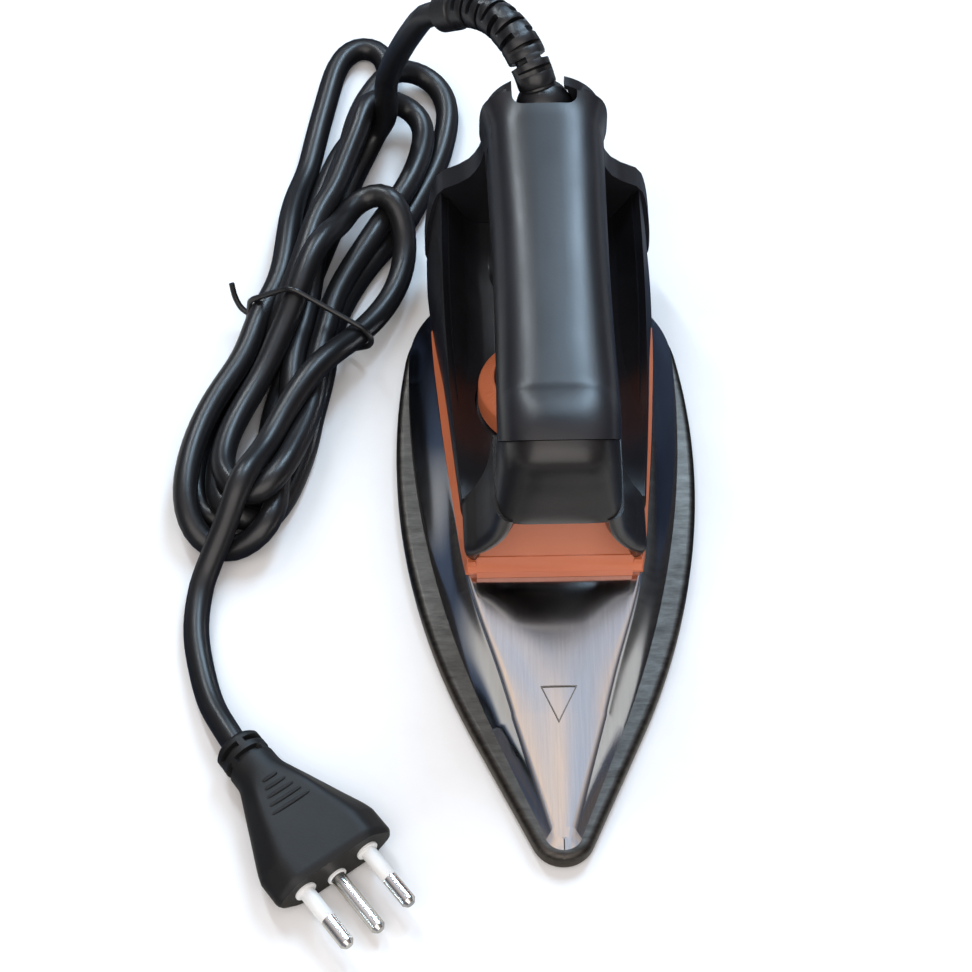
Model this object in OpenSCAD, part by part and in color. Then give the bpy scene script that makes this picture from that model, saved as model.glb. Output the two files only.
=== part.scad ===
// Dry clothes iron: cast soleplate, polished cover, plastic body and handle,
// thermostat dial, ball-jointed cord guard, and a tied hank of mains lead with its plug.
// Frame: nose towards -Y, heel towards +Y, soleplate on Z = 0, plane of symmetry X = 0.

/* [Soleplate] */
// Overall length, from the nose to the heel cover
length = 199.4; // [190:0.2:210]
// Half of the soleplate's greatest width
sole_half = 41.7; // [40:0.1:43]
// Radius of the soleplate's nose
nose_r = 8.4; // [6:0.2:9]
// Half of the angle between the two sides at the nose
nose_angle = 24.5; // [23:0.5:26]
// Height of the soleplate's edge
sole_t = 6; // [5:0.2:6.4]
// Diameter of the sheathed heating element
element_d = 6.6; // [6:0.1:7]

/* [Cover] */
// Sheet thickness of the polished cover
cover_t = 0.8; // [0.6:0.1:1]
// Height of the parting line between cover and trim, at the bar
part_front = 22.6; // [22:0.1:23]
// Fall of the parting line for each millimetre towards the heel
part_fall = 0.03; // [0.02:0.005:0.035]

/* [Body] */
// Wall thickness of the plastic body
wall = 2.2; // [1.8:0.1:2.4]
// Height of the handle's top at the heel
handle_top = 87; // [86:0.5:88]
// Height of the handle's underside
handle_under = 61; // [60:0.5:62]
// Half of the handle's width
handle_half = 15.6; // [15:0.1:16]
// Thickness of the heel cover's plate
heel_t = 6.6; // [6:0.2:7]

/* [Dial] */
// Radius of the thermostat dial
dial_r = 19; // [18:0.5:19.5]
// Height of the dial's side wall
dial_h = 6.4; // [5:0.2:7]
// Lean of the dial's axis towards the heel
dial_lean = 9; // [6:1:10]

/* [Lead] */
// Diameter of the mains lead
cord_d = 7; // [6.6:0.1:7.2]
// Radius of the ball that swivels in the handle's heel
ball_r = 7.8; // [7.4:0.1:8]
// Outer radius of the bend guard at the ball
guard_r = 5.6; // [5.2:0.1:5.8]

/* [Plug] */
// Diameter of the plug's pins
pin_d = 4; // [4:0.1:4.1]
// Length of the plug's pins
pin_len = 19; // [18:0.5:19.5]
// Distance between the two outer pins
pin_gap = 19; // [19:0.5:20]

/* [Hidden] */

eps = 0.01;
gap = 0.25;

nose_y = -length / 2;
heel_y = length / 2;

// ---------- points and lofts ----------

function arc(cx, cy, r, a0, a1, n) =
    [for (i = [0:n]) let (a = a0 + (a1 - a0) * i / n) [cx + r * cos(a), cy + r * sin(a)]];

function mirrored(half) =
    concat([for (i = [len(half) - 1:-1:0]) [-half[i][0], half[i][1]]], half);

// Right half of a boat outline: nose arc, straight, side arc and rear corner arc.
function boat_side_r(w, wy, a, ny, nr) =
    (nr - sin(a) * (ny + nr) - cos(a) * w + sin(a) * wy) / (1 - cos(a));

function boat_half(w, wy, a, ny, nr, ra, rr, inset, n = 8) =
    let (R = boat_side_r(w, wy, a, ny, nr),
         rx = w - R + (R - rr) * cos(ra),
         ry = wy + (R - rr) * sin(ra))
    concat(
        arc(0, ny + nr, nr - inset, -82, -a, n),
        arc(w - R, wy, R - inset, -a, ra, 2 * n),
        arc(rx, ry, rr - inset, ra + 6, 90, n));

function sole_outline(inset, n = 8) =
    boat_half(sole_half, 26, nose_angle, nose_y, nose_r, 9.5, 28, inset, n);

function cover_outline(inset, n = 8) =
    boat_half(38, 48, 21.5, nose_y + 2.6, 5, 2.4, 28, inset, n);

// Outline of a part hidden under the cover, with its own nose.
function inner_outline(inset, front, n = 8) =
    boat_half(38 - inset, 48, 21.5, front, 4, 2.4, 28 - inset, 0, n);

// Value at t of a smooth line through [t, value] pairs.
function slope_at(k, i) =
    i == 0 ? (k[1][1] - k[0][1]) / (k[1][0] - k[0][0])
    : i == len(k) - 1 ? (k[i][1] - k[i - 1][1]) / (k[i][0] - k[i - 1][0])
    : (k[i + 1][1] - k[i - 1][1]) / (k[i + 1][0] - k[i - 1][0]);

function span_of(k, t, i = 0) = i >= len(k) - 2 || t < k[i + 1][0] ? i : span_of(k, t, i + 1);

function smooth(k, t) =
    let (c = min(max(t, k[0][0]), k[len(k) - 1][0]),
         i = span_of(k, c),
         w = k[i + 1][0] - k[i][0],
         u = (c - k[i][0]) / w,
         a = slope_at(k, i) * w,
         b = slope_at(k, i + 1) * w)
    k[i][1] * (2 * u ^ 3 - 3 * u ^ 2 + 1) + a * (u ^ 3 - 2 * u ^ 2 + u)
    + k[i + 1][1] * (3 * u ^ 2 - 2 * u ^ 3) + b * (u ^ 3 - u ^ 2);

// Closed solid through rings that all have the same number of points.
module solid_loft(rings) {
    n = len(rings[0]);
    m = len(rings);
    ends = [for (r = [rings[0], rings[m - 1]]) [for (c = [0:2]) sum_of(r, c) / n]];
    polyhedron(
        points = concat([for (r = rings) for (p = r) p], ends),
        faces = concat(
            [for (s = [0:m - 2]) for (i = [0:n - 1]) let (j = (i + 1) % n)
                for (f = [[s * n + i, s * n + j, (s + 1) * n + j],
                          [s * n + i, (s + 1) * n + j, (s + 1) * n + i]]) f],
            [for (i = [0:n - 1]) [(i + 1) % n, i, m * n]],
            [for (i = [0:n - 1]) [(m - 1) * n + i, (m - 1) * n + (i + 1) % n, m * n + 1]]),
        convexity = 6);
}

function sum_of(r, c, i = 0) = i == len(r) ? 0 : r[i][c] + sum_of(r, c, i + 1);

// Thin shell between an outer and an inner set of open paths.
module shell_loft(outer, inner) {
    n = len(outer[0]);
    m = len(outer);
    k = n * m;
    function o(s, i) = s * n + i;
    function q(s, i) = k + s * n + i;
    polyhedron(
        points = concat([for (r = outer) for (p = r) p], [for (r = inner) for (p = r) p]),
        faces = concat(
            [for (s = [0:m - 2]) for (i = [0:n - 2])
                for (f = [[o(s, i), o(s, i + 1), o(s + 1, i + 1)],
                          [o(s, i), o(s + 1, i + 1), o(s + 1, i)],
                          [q(s, i), q(s + 1, i + 1), q(s, i + 1)],
                          [q(s, i), q(s + 1, i), q(s + 1, i + 1)]]) f],
            [for (s = [0:m - 2])
                for (f = [[o(s, 0), o(s + 1, 0), q(s + 1, 0)],
                          [o(s, 0), q(s + 1, 0), q(s, 0)],
                          [o(s, n - 1), q(s + 1, n - 1), o(s + 1, n - 1)],
                          [o(s, n - 1), q(s, n - 1), q(s + 1, n - 1)]]) f],
            [for (i = [0:n - 2])
                for (f = [[o(0, i), q(0, i + 1), o(0, i + 1)],
                          [o(0, i), q(0, i), q(0, i + 1)],
                          [o(m - 1, i), o(m - 1, i + 1), q(m - 1, i + 1)],
                          [o(m - 1, i), q(m - 1, i + 1), q(m - 1, i)]]) f]),
        convexity = 8);
}

// Tube along a route, with the same number of sides all the way.
function unit(v) = v / norm(v);

function tube_rings(route, r, sides) =
    [for (i = [0:len(route) - 1])
        let (d = unit(route[min(i + 1, len(route) - 1)] - route[max(i - 1, 0)]),
             u = unit(cross(abs(d[2]) > 0.9 ? [0, 1, 0] : [0, 0, 1], d)),
             v = cross(d, u),
             rad = is_list(r) ? r[i] : r)
        [for (k = [0:sides - 1]) let (a = -360 * k / sides)
            route[i] + rad * cos(a) * u + rad * sin(a) * v]];

// Smooth line through points, with n steps between each pair.
function through(p, n) =
    concat([for (i = [0:len(p) - 2]) for (s = [0:n - 1])
        let (t = s / n, a = p[max(i - 1, 0)], b = p[i], c = p[i + 1],
             d = p[min(i + 2, len(p) - 1)])
        0.5 * (2 * b + (c - a) * t + (2 * a - 5 * b + 4 * c - d) * t * t
            + (3 * b - a - 3 * c + d) * t * t * t)], [p[len(p) - 1]]);

// ---------- lines that neighbouring parts share ----------

// Parting line between cover and trim.
function part_z(y) = part_front - part_fall * (y + 25);

// Half width of the cover's rolled top edge, and of the trim that sits on it.
edge_x = [[-94, 1.6], [-86, 5.0], [-72, 9.4], [-52, 15], [-26, 22.8], [0, 26.2],
    [31, 29.2], [60, 31], [74, 30], [86, 24]];
// Height of the cover's rolled top edge in front of the bar.
edge_z = [[-94, 6.8], [-72, 12.2], [-50, 17.4], [-30, 22], [-25, part_front]];

function cover_top_z(y) = y < -25 ? smooth(edge_z, y)
    : y < 60 ? part_z(y) : part_z(60) - smooth(skirt_drop, y);

// Upper edge of the trim: it rises from a point beside the heel.
trim_rise = [[-24, 6.1], [-16, 4.9], [-8, 3.8], [0, 3.6], [35, 3.2], [50, 1.8], [62, 0.3]];
trim_slope = [[-24, 0.3], [-16, 1.2], [-8, 1.9], [35, 1.8], [50, 1], [62, 0.2]];
function trim_top_z(y) = part_z(y) + smooth(trim_rise, y);
function trim_in(y) = smooth(trim_slope, y);

// Lower edge of the body: on the trim, then down behind it to the heel.
skirt_drop = [[60, 0], [66, 1.6], [74, 5], [84, 8.6], [92, 9.6]];
function body_low_z(y) = 0.08 + (y < 60 ? trim_top_z(y) : trim_top_z(60) - smooth(skirt_drop, y));
function trim_x(y) = smooth(edge_x, y) + 0.3;
skirt_x = [[60, 31.2], [76, 32.1], [92, 32.2]];
function body_low_x(y) = y < 60 ? trim_x(y) - trim_in(y) : smooth(skirt_x, y);

// Ridge between the body's side and its deck.
ridge_x = [[-24, 22.6], [-8, 24.5], [30, 27.2], [60, 28.2], [92, 28.2]];
ridge_z = [[-24, 33.4], [-8, 35.6], [40, 40.4], [92, 45.2]];

// Middle of the deck, below the handle.
deck_z = [[-8, 35.6], [9, 32.9], [28, 29.9], [46, 27], [58, 26.8], [70, 28.4], [92, 30.6]];

// Top of the handle.
top_z = [[-26, handle_top - 2.2], [10, handle_top], [50, handle_top + 0.6], [86, handle_top]];

// ---------- soleplate, element and thermostat ----------

element_z = sole_t + 4.6;
element_ends_y = 58;
element_bend_y = -44;
element_bend_r = 9;
element_end_x = 18;
leg_dy = element_ends_y - element_bend_y;
leg_angle = atan(element_end_x / leg_dy) - asin(element_bend_r / norm([element_end_x, leg_dy]));
leg_len = sqrt(element_end_x ^ 2 + leg_dy ^ 2 - element_bend_r ^ 2);

// The element's run: two legs and a bend round the nose.
module element_run(r) {
    translate([0, element_bend_y, element_z]) {
        rotate([0, 0, 180 + leg_angle])
            rotate_extrude(angle = 180 - 2 * leg_angle, $fn = 64)
            translate([element_bend_r, 0])
            circle(r = r, $fn = 32);
        for (s = [-1, 1])
            rotate([0, 0, -s * leg_angle])
            translate([s * element_bend_r, 0, 0])
            rotate([-90, 0, 0])
            cylinder(r = r, h = leg_len, $fn = 32);
    }
}

bolt_y = [-4, 66];
bolt_r = 1.6;
post_r = 4.4;
post_top = [part_z(-4) - cover_t - 0.3, 18.2];
tag_t = 0.6;

module soleplate() {
    color([0.62, 0.62, 0.6])
    difference() {
        union() {
            linear_extrude(1)
                polygon(mirrored(sole_outline(0.8)));
            translate([0, 0, 1])
                linear_extrude(sole_t - 2.2)
                polygon(mirrored(sole_outline(0)));
            translate([0, 0, sole_t - 1.2])
                linear_extrude(1.2)
                polygon(mirrored(sole_outline(1.4)));
            translate([0, 0, sole_t])
                linear_extrude(element_z - sole_t)
                polygon(mirrored(inner_outline(6, -72)));
            for (i = [0, 1])
                translate([0, bolt_y[i], sole_t])
                cylinder(r = post_r, h = post_top[i] - sole_t, $fn = 32);
        }
        element_run(element_d / 2);
        for (s = [-1, 1])
            translate([s * element_end_x - 3, element_ends_y - 0.4, element_z - 1.7])
            cube([6, 30, 8]);
        for (y = bolt_y)
            translate([0, y, sole_t])
            cylinder(r = bolt_r, h = 20, $fn = 32);
    }
}

module heating_element() {
    color([0.4, 0.4, 0.38])
    element_run(element_d / 2);
}

// Cold ends of the element: an elbow and a pin on each leg.
module element_terminals() {
    color([0.75, 0.75, 0.72])
    for (s = [-1, 1])
        translate([s * element_end_x, element_ends_y, element_z])
        rotate([0, 0, -s * leg_angle]) {
            rotate([-90, 0, 0])
                cylinder(d = 3, h = 5, $fn = 32);
            translate([0, 5, 0])
                sphere(d = 3, $fn = 32);
            translate([0, 5, 0])
                cylinder(d = 3, h = 7, $fn = 32);
        }
}

// Pressed steel plate over the element, open round the thermostat and the element's ends.
module sole_cover() {
    color([0.7, 0.71, 0.72])
    difference() {
        translate([0, 0, element_z + element_d / 2 + 0.1])
            linear_extrude(0.8)
            polygon(mirrored(inner_outline(11, -50)));
        translate([-14, 8, 0])
            cube([28, 42, 30]);
        translate([-30, 54, 0])
            cube([60, 40, 30]);
        translate([0, bolt_y[0], 0])
            cylinder(r = post_r + 0.4, h = 40, $fn = 32);
    }
}

// ---------- polished cover ----------

// One crosswise path of the cover, over outline point b, with its top inside the surface by t.
function cover_path(b, t) =
    let (ty = b[1] + smooth([[nose_y, 3.2], [-80, 1.5], [-60, 0], [60, 0], [86, -4]], b[1]),
         bz = sole_t,
         rise = cover_top_z(ty) - bz,
         tx = min(smooth(edge_x, ty) - t, 0.8 * b[0]),
         tz = bz + max(rise - t * 1.1, 0.55 * rise),
         hollow = min(rise / 16, b[0] / 12, 1),
         crown = ty > -26 ? 0 : 1.3 * sin(180 * (ty + 96) / 70) * hollow,
         half = concat(
             [for (u = [0:0.125:1]) let (bow = hollow * sin(180 * u))
                 [b[0] + (tx - b[0]) * u - 0.9 * bow, b[1] + (ty - b[1]) * u,
                  bz + (tz - bz) * u - 0.5 * bow]],
             [for (u = [0.88, 0.6, 0.3]) [tx * u, ty, tz + (1 - u ^ 2) * crown]]))
    concat([for (p = half) [-p[0], p[1], p[2]]],
        [[0, ty, tz + crown]],
        [for (i = [len(half) - 1:-1:0]) half[i]]);

module cover_skin() {
    shell_loft([for (b = cover_outline(cover_t, 6)) cover_path(b, cover_t)],
        [for (b = cover_outline(0, 6)) cover_path(b, 0)]);
}

module cover_shell() {
    color([0.82, 0.82, 0.83])
    difference() {
        cover_skin();
        dial_frame()
            translate([0, 0, -26])
            cylinder(r = 5, h = 20, $fn = 48);
        translate([0, bolt_y[0], 12])
            cylinder(r = bolt_r + 0.4, h = 20, $fn = 32);
        translate([0, bolt_y[1], 12])
            cylinder(r = post_r + 0.8, h = 20, $fn = 32);
        for (s = [-1, 1])
            translate([s * 18.5 - 4.5, 56, 12])
            cube([9, 12, 14]);
    }
}

// Long bolts that clamp the body, trim and cover to the soleplate's posts.
module body_bolts() {
    color([0.72, 0.72, 0.7])
    for (y = bolt_y) {
        top = smooth(deck_z, y);
        translate([0, y, sole_t + 2])
            cylinder(r = bolt_r - eps, h = top - sole_t - 2, $fn = 32);
        translate([0, y, top])
            difference() {
                cylinder(r = 3.2, h = 2.2, $fn = 40);
                translate([0, 0, 1.2])
                    cube([7, 0.9, 2.4], center = true);
            }
    }
}

// ---------- thermostat ----------

dial_y = 28;
dial_z = 37;
spindle_r = 2.5;

// Frame on the dial's axis, with its zero in the plane of the rim.
module dial_frame() {
    translate([0, dial_y, dial_z])
        rotate([-dial_lean, 0, 0])
        children();
}

module thermostat_base() {
    color([0.78, 0.74, 0.66])
    difference() {
        union() {
            translate([-6, 14, element_z])
                cube([11, 22, 3]);
            dial_frame()
                translate([0, 0, -24.4])
                cylinder(r = 4.6, h = 7.4, $fn = 48);
        }
        dial_frame()
            translate([0, 0, -21.4])
            cylinder(r = spindle_r + 0.05, h = 8, $fn = 48);
        translate([-10, 0, 0])
            cube([20, 60, element_z]);
    }
}

// Bimetal and contact blades, stacked on a ceramic post beside the spindle.
module thermostat_blades() {
    color([0.8, 0.66, 0.4]) {
        translate([7.8, 16, element_z])
            cylinder(r = 2.4, h = 8.4, $fn = 32);
        for (i = [0:2])
            translate([5.4, 16, element_z + 2 + 2.6 * i])
            cube([4.8, 26, 0.5]);
        translate([7.8, 39, element_z + 2])
            cylinder(r = 1.4, h = 5.6, $fn = 32);
    }
}

// Sealed fuse in a glass sleeve, with its two leads.
module thermal_fuse() {
    color([0.9, 0.88, 0.8]) {
        translate([-9, 18, element_z + 2.2])
            rotate([-90, 0, 0])
            cylinder(r = 2.2, h = 14, $fn = 32);
        translate([-9, 10, element_z + 2.2])
            rotate([-90, 0, 0])
            cylinder(r = 0.5, h = 30, $fn = 24);
    }
}

module dial() {
    color([0.86, 0.47, 0.31])
    dial_frame()
    rotate_extrude($fn = 96)
    polygon([[spindle_r, -5.4], [spindle_r, -1], [14.2, -1], [14.6, 3], [15.2, 3], [dial_r, 0.3],
        [dial_r, -dial_h], [dial_r - 1.8, -dial_h], [dial_r - 1.8, -3.4], [5, -3.4], [5, -5.4]]);
}

// Black hub disc with a raised pointer.
module dial_cap() {
    color([0.1, 0.1, 0.11])
    dial_frame() {
        translate([0, 0, -1])
            cylinder(r = 14.1, h = 1.6, $fn = 96);
        translate([-0.8, 3, 0.6])
            cube([1.6, 9.5, 0.7]);
    }
}

module dial_spindle() {
    color([0.75, 0.75, 0.72])
    dial_frame()
    translate([0, 0, -21])
    cylinder(r = spindle_r, h = 20, $fn = 48);
}

// ---------- orange trim ----------

bar_half = 23;
bar_low_half = 20.6;
bar_front = -25.1;
bar_top = 28.6;

module along_x(half) {
    rotate([90, 0, 90])
        linear_extrude(2 * half, center = true)
        children();
}

// A level slab of the ramp: half width, front and back at height z.
function ramp_ring(half, front, z) =
    [[-half, front, z], [-half, -8.5, z], [half, -8.5, z], [half, front, z]];

module trim_side(s) {
    solid_loft([for (y = [-24:4:60]) let (xl = trim_x(y), xu = xl - trim_in(y))
        let (low = part_z(y) + 0.05, ring = [[s * xl, y, low], [s * xu, y, trim_top_z(y)],
            [s * (xu - wall), y, trim_top_z(y)], [s * (xl - 3.6), y, low]])
        s > 0 ? ring : [ring[3], ring[2], ring[1], ring[0]]]);
}

module trim_frame() {
    color([0.82, 0.43, 0.27])
    union() {
            for (s = [-1, 1])
                trim_side(s);
            along_x(bar_half)
                polygon([[bar_front, 25.2], [-22.5, bar_top], [-18, bar_top], [-18, 25.2]]);
            along_x(bar_low_half)
                polygon([[bar_front, part_front + 0.05], [bar_front, 25.3], [-9, 25.3],
                    [-9, part_front + 0.05]]);
            solid_loft([ramp_ring(20, -22.2, 24.2), ramp_ring(20, -22.2, bar_top - 0.1),
                ramp_ring(17.6, -15, 35.4), ramp_ring(15.8, -11.4, 40)]);
    }
}

// ---------- body ----------

// One crosswise path of the body, inside its surface by t.
function body_path(y, t) =
    let (lean = heel_lean * min(max((y - 60) / 30, 0), 1),
         lx = body_low_x(y) - t, lz = body_low_z(y),
         rx = smooth(ridge_x, y) - t * 0.9, rz = smooth(ridge_z, y) - t,
         dz = smooth(deck_z, y) - t,
         half = concat(
             [for (u = [0, 0.5, 0.94]) [lx + (rx - lx) * u + 0.5 * sin(180 * u), lz + (rz - lz) * u]],
             [for (u = [1, 0.93, 0.84, 0.74, 0.64])
                 [(rx - 0.3) * u, dz + (rz - dz) * ((u - 0.6) / 0.4) ^ 1.7]]))
    concat([for (p = half) [-p[0], y - lean * (p[1] - 30), p[1]]],
        [[0, y - lean * (dz - 30), dz]],
        [for (i = [len(half) - 1:-1:0]) [half[i][0], y - lean * (half[i][1] - 30), half[i][1]]]);

heel_lean = 0.09;
body_front = -8.4;
body_back = heel_y + 0.9 - heel_lean * 30 - heel_t * 1.004 - 0.1;
body_steps = 25;

head_room = 3.4;
boss_low = [part_z(bolt_y[0]) + 0.1, post_top[1] + tag_t + 0.05];
block_y = 77;
block_top = 22.5;
wire_hole_r = 6.5;
wire_y = 77;

module body_shell() {
    stations = [for (i = [0:body_steps]) body_front + (body_back - body_front) * i / body_steps];
    color([0.13, 0.13, 0.14])
    difference() {
        union() {
            shell_loft([for (y = stations) body_path(y, wall)], [for (y = stations) body_path(y, 0)]);
            for (i = [0, 1])
                translate([0, bolt_y[i], boss_low[i]])
                cylinder(r = 4, h = smooth(deck_z, bolt_y[i]) - boss_low[i] - 0.6, $fn = 40);
            for (s = [-1, 1])
                translate([s * 12.4, block_y + 6, block_top])
                cylinder(r = 2, h = 6, $fn = 32);
        }
        for (y = bolt_y) {
            translate([0, y, 0])
                cylinder(r = bolt_r + 0.3, h = 60, $fn = 32);
            translate([0, y, smooth(deck_z, y)])
                cylinder(r = head_room, h = 30, $fn = 48);
        }
        dial_frame()
            translate([0, 0, -dial_h - 0.4])
            cylinder(r = dial_r + 0.8, h = 20, $fn = 96);
        dial_frame()
            translate([0, 0, -20])
            cylinder(r = 3.4, h = 30, $fn = 48);
        translate([0, wire_y, 0])
            cylinder(r = wire_hole_r, h = 60, $fn = 48);
    }
}

// ---------- handle ----------

// The handle's sections stand on a line, then turn about the pivot over its front column.
turn_y = -8;
turn_z = handle_under - 1;
seam_angle = 35;
handle_back = 84.4;

function handle_stations() =
    concat([for (i = [0:18]) [handle_back + (turn_y - handle_back) * i / 18, 0]],
        [for (a = [9, 18, 27, seam_angle]) [turn_y, a]]);

front_r = [[0, 25.8], [35, 30.1], [46, 30.6], [60, 27.6], [75, 25.6], [92, 25]];
function handle_r(st) =
    st[1] > 0 ? smooth(front_r, st[1]) : smooth(top_z, st[0]) - turn_z;
function handle_w(st) =
    handle_half + (st[1] > 0 ? 0 : st[0] < 60 ? -0.4 * sin(180 * (st[0] + 8) / 68)
        : 0.02 * (st[0] - 60));

split_r = 14;
round_p = 0.62;

// Plan of the handle's rounded end, grown by g.
function end_half(y, g) =
    (handle_half + 0.5 + g) * sqrt(max(1 - ((y - 70) / (17.3 + g)) ^ 2, 0));

module end_plan(g) {
    polygon(concat(
        [for (i = [0:12]) let (y = 70 + (handle_back + g - 70) * i / 12) [end_half(y, g), y]],
        [for (i = [12:-1:0]) let (y = 70 + (handle_back + g - 70) * i / 12) [-end_half(y, g), y]],
        [[-20 - g, 70], [-20 - g, -80], [20 + g, -80], [20 + g, 70]]));
}

// Relief round the ball, in every part that does not guide it.
ball_at = [0, 88, 82];
module ball_relief() {
    translate(ball_at)
        sphere(r = ball_r + 0.4, $fn = 64);
}

function place(x, r, st) = [x, st[0] - r * sin(st[1]), turn_z + r * cos(st[1])];

// Rounded half section above (up = 1) or below (up = -1) the split, inset by t.
function handle_path(st, up, t, low = 1) =
    let (w = handle_w(st) - t,
         far = up > 0 ? handle_r(st) - t - split_r : split_r - low - t)
    [for (a = [180:-15:0])
        place(w * sign(cos(a)) * abs(cos(a)) ^ round_p, split_r + up * far * abs(sin(a)) ^ round_p, st)];

module handle_upper() {
    st = handle_stations();
    color([0.14, 0.14, 0.15])
    difference() {
        intersection() {
            shell_loft([for (p = st) handle_path(p, 1, 0)], [for (p = st) handle_path(p, 1, wall)]);
            linear_extrude(100)
                end_plan(0);
        }
        ball_relief();
    }
}

// Inside and outside of the rear column, between deck and handle.
function column_ring(t, z, spread) =
    [for (a = [0:15:345])
        let (x = (13 + spread - t) * sign(cos(a)) * abs(cos(a)) ^ 0.7,
             y = 76.6 + (11.2 + 0.4 * spread - t) * sign(sin(a)) * abs(sin(a)) ^ 0.7)
        [x, y, z < 0 ? smooth(deck_z, y) + 0.1 + 0.02 * abs(x) : z]];

module rear_column() {
    color([0.14, 0.14, 0.15])
    difference() {
        solid_loft([column_ring(0, turn_z + 3, 1.2), column_ring(0, 56, 0.4), column_ring(0, 46, 0),
            column_ring(0, 36, 0.8), column_ring(0, -1, 2)]);
        solid_loft([column_ring(wall, handle_under - 2, 0.4), column_ring(wall, 46, 0),
            column_ring(wall, 20, 1)]);
        solid_loft([for (p = handle_stations()) if (p[0] > 50)
            let (h = handle_path(p, -1, -0.05)) [for (i = [len(h) - 1:-1:0]) h[i]]]);
        translate([0, 72, 50])
            cylinder(r = 6, h = 40, $fn = 48);
        translate([0, bolt_y[1], 20])
            cylinder(r = head_room, h = 12, $fn = 48);
    }
}

module handle_lower() {
    st = handle_stations();
    color([0.14, 0.14, 0.15])
    difference() {
        union() {
            intersection() {
                shell_loft([for (p = st) handle_path(p, -1, wall)],
                    [for (p = st) handle_path(p, -1, 0)]);
                linear_extrude(100)
                    end_plan(0);
            }
            translate([-seat_half, seat_front, handle_under + 0.5])
                cube([2 * seat_half, handle_back - seat_front - 0.2, seat_low - handle_under - 0.5]);
            for (y = screw_y)
                translate([0, y, handle_under + wall - 0.2])
                cylinder(r = 3.4, h = split_r - wall - 0.2, $fn = 40);
        }
        translate([0, 72, 50])
            cylinder(r = 6, h = 40, $fn = 48);
        for (y = screw_y)
            translate([0, y, 0])
            cylinder(r = 1.6, h = 100, $fn = 32);
        for (y = screw_y)
            translate([0, y, handle_under - 2])
            cylinder(r = 3, h = 4, $fn = 32);
    }
}

screw_y = [14, 50];
seat_half = 5;
seat_front = 80.2;
seat_low = 64;

module handle_screws() {
    color([0.6, 0.6, 0.6])
    for (y = screw_y) {
        translate([0, y, handle_under + 0.4])
            cylinder(r = 2.8, h = 1.6, $fn = 40);
        translate([0, y, handle_under + 1.8])
            cylinder(r = 1.5, h = 14, $fn = 32);
    }
}

// Front of the handle: a hood, and two legs that flare to the trim round the open arch.
lip_angle = 92;
lip_p = 0.28;
hood_steps = 8;

function hood_path(a, t) =
    let (k = (a - seam_angle) / (lip_angle - seam_angle),
         p = round_p + (lip_p - round_p) * k,
         w = handle_half + 0.6 * k - t,
         far = smooth(front_r, a) - t,
         low = 1 + k)
    [for (i = [180:-15:0])
        place(w * sign(cos(i)) * abs(cos(i)) ^ p, low + (far - low) * abs(sin(i)) ^ p, [turn_y, a])];

// Front and rear edges of a leg, from the lip down to the trim, and its half width.
leg_front_y = [[0, -32.9], [0.35, -31], [0.7, -27.6], [1, -23.4]];
leg_front_z = [[0, turn_z + 0.1], [0.35, 50], [0.7, 38.5], [1, 28.75]];
leg_back_y = [[0, -7.2], [0.4, -7.4], [1, -8.6]];
leg_back_z = [[0, turn_z + 2], [0.4, 47], [0.72, 36.2], [1, 26]];
leg_x = [[0, 16.2], [0.35, 17.5], [0.6, 20.5], [0.78, 23.7], [1, 23.4]];
leg_corner = [[0, 4.2], [0.35, 3.6], [1, 2.6]];

// Crosswise line of a leg, from its front edge round the corner to its rear edge.
function leg_path(v, s, t) =
    let (c = smooth(leg_corner, v) - 0.4 * t,
         fy = smooth(leg_front_y, v) + t, by = smooth(leg_back_y, v),
         fz = smooth(leg_front_z, v), bz = smooth(leg_back_z, v),
         xs = smooth(leg_x, v) - t)
    [for (u = [0, 0.03, 0.08, 0.16, 0.3, 0.5, 0.75, 1])
        let (y = fy + (by - fy) * u, d = min((y - fy) / c, 1))
        [s * (xs - c * (1 - sqrt(1 - (1 - d) ^ 2)) + 0.3 * u), y, fz + (bz - fz) * u]];

module leg(s) {
    rows = [for (v = [0:0.1:1]) v];
    a = [for (v = rows) leg_path(v, s, 0)];
    b = [for (v = rows) leg_path(v, s, wall)];
    if (s > 0) shell_loft(a, b);
    if (s < 0) shell_loft(b, a);
}

module front_cap() {
    first = seam_angle + 0.4;
    rows = [for (i = [0:hood_steps]) first + (lip_angle - first) * i / hood_steps];
    color([0.12, 0.12, 0.13])
    union() {
        shell_loft([for (a = rows) hood_path(a, 0)], [for (a = rows) hood_path(a, wall)]);
        for (s = [-1, 1])
            leg(s);
    }
}

// ---------- heel ----------

heel_angle = atan(heel_lean);
heel_x = [[10.4, 30.6], [14, 32.3], [20, 32.6], [33, 31.5], [44, 29.4], [47.6, 27.4], [49.6, 24],
    [53, 20], [61, 16.6], [74.4, 15.8]];
lobe_z = 74.4;
lobe_r = 15.8;
rim_w = 2.4;
rim_h = 1.2;

// Frame on the heel cover's outer plane: X across, Y up the plane, Z into the iron.
module heel_frame() {
    translate([0, heel_y + heel_x[0][0] * sin(heel_angle), 0])
        rotate([90 + heel_angle, 0, 0])
        children();
}

module heel_shape(inset) {
    z0 = heel_x[0][0] + inset;
    polygon(concat(
        [for (i = [0:24]) let (z = z0 + (lobe_z - z0) * i / 24) [smooth(heel_x, z) - inset, z]],
        [for (i = [24:-1:0]) let (z = z0 + (lobe_z - z0) * i / 24) [inset - smooth(heel_x, z), z]]));
    translate([0, lobe_z])
        circle(r = lobe_r - inset, $fn = 96);
}

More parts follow.
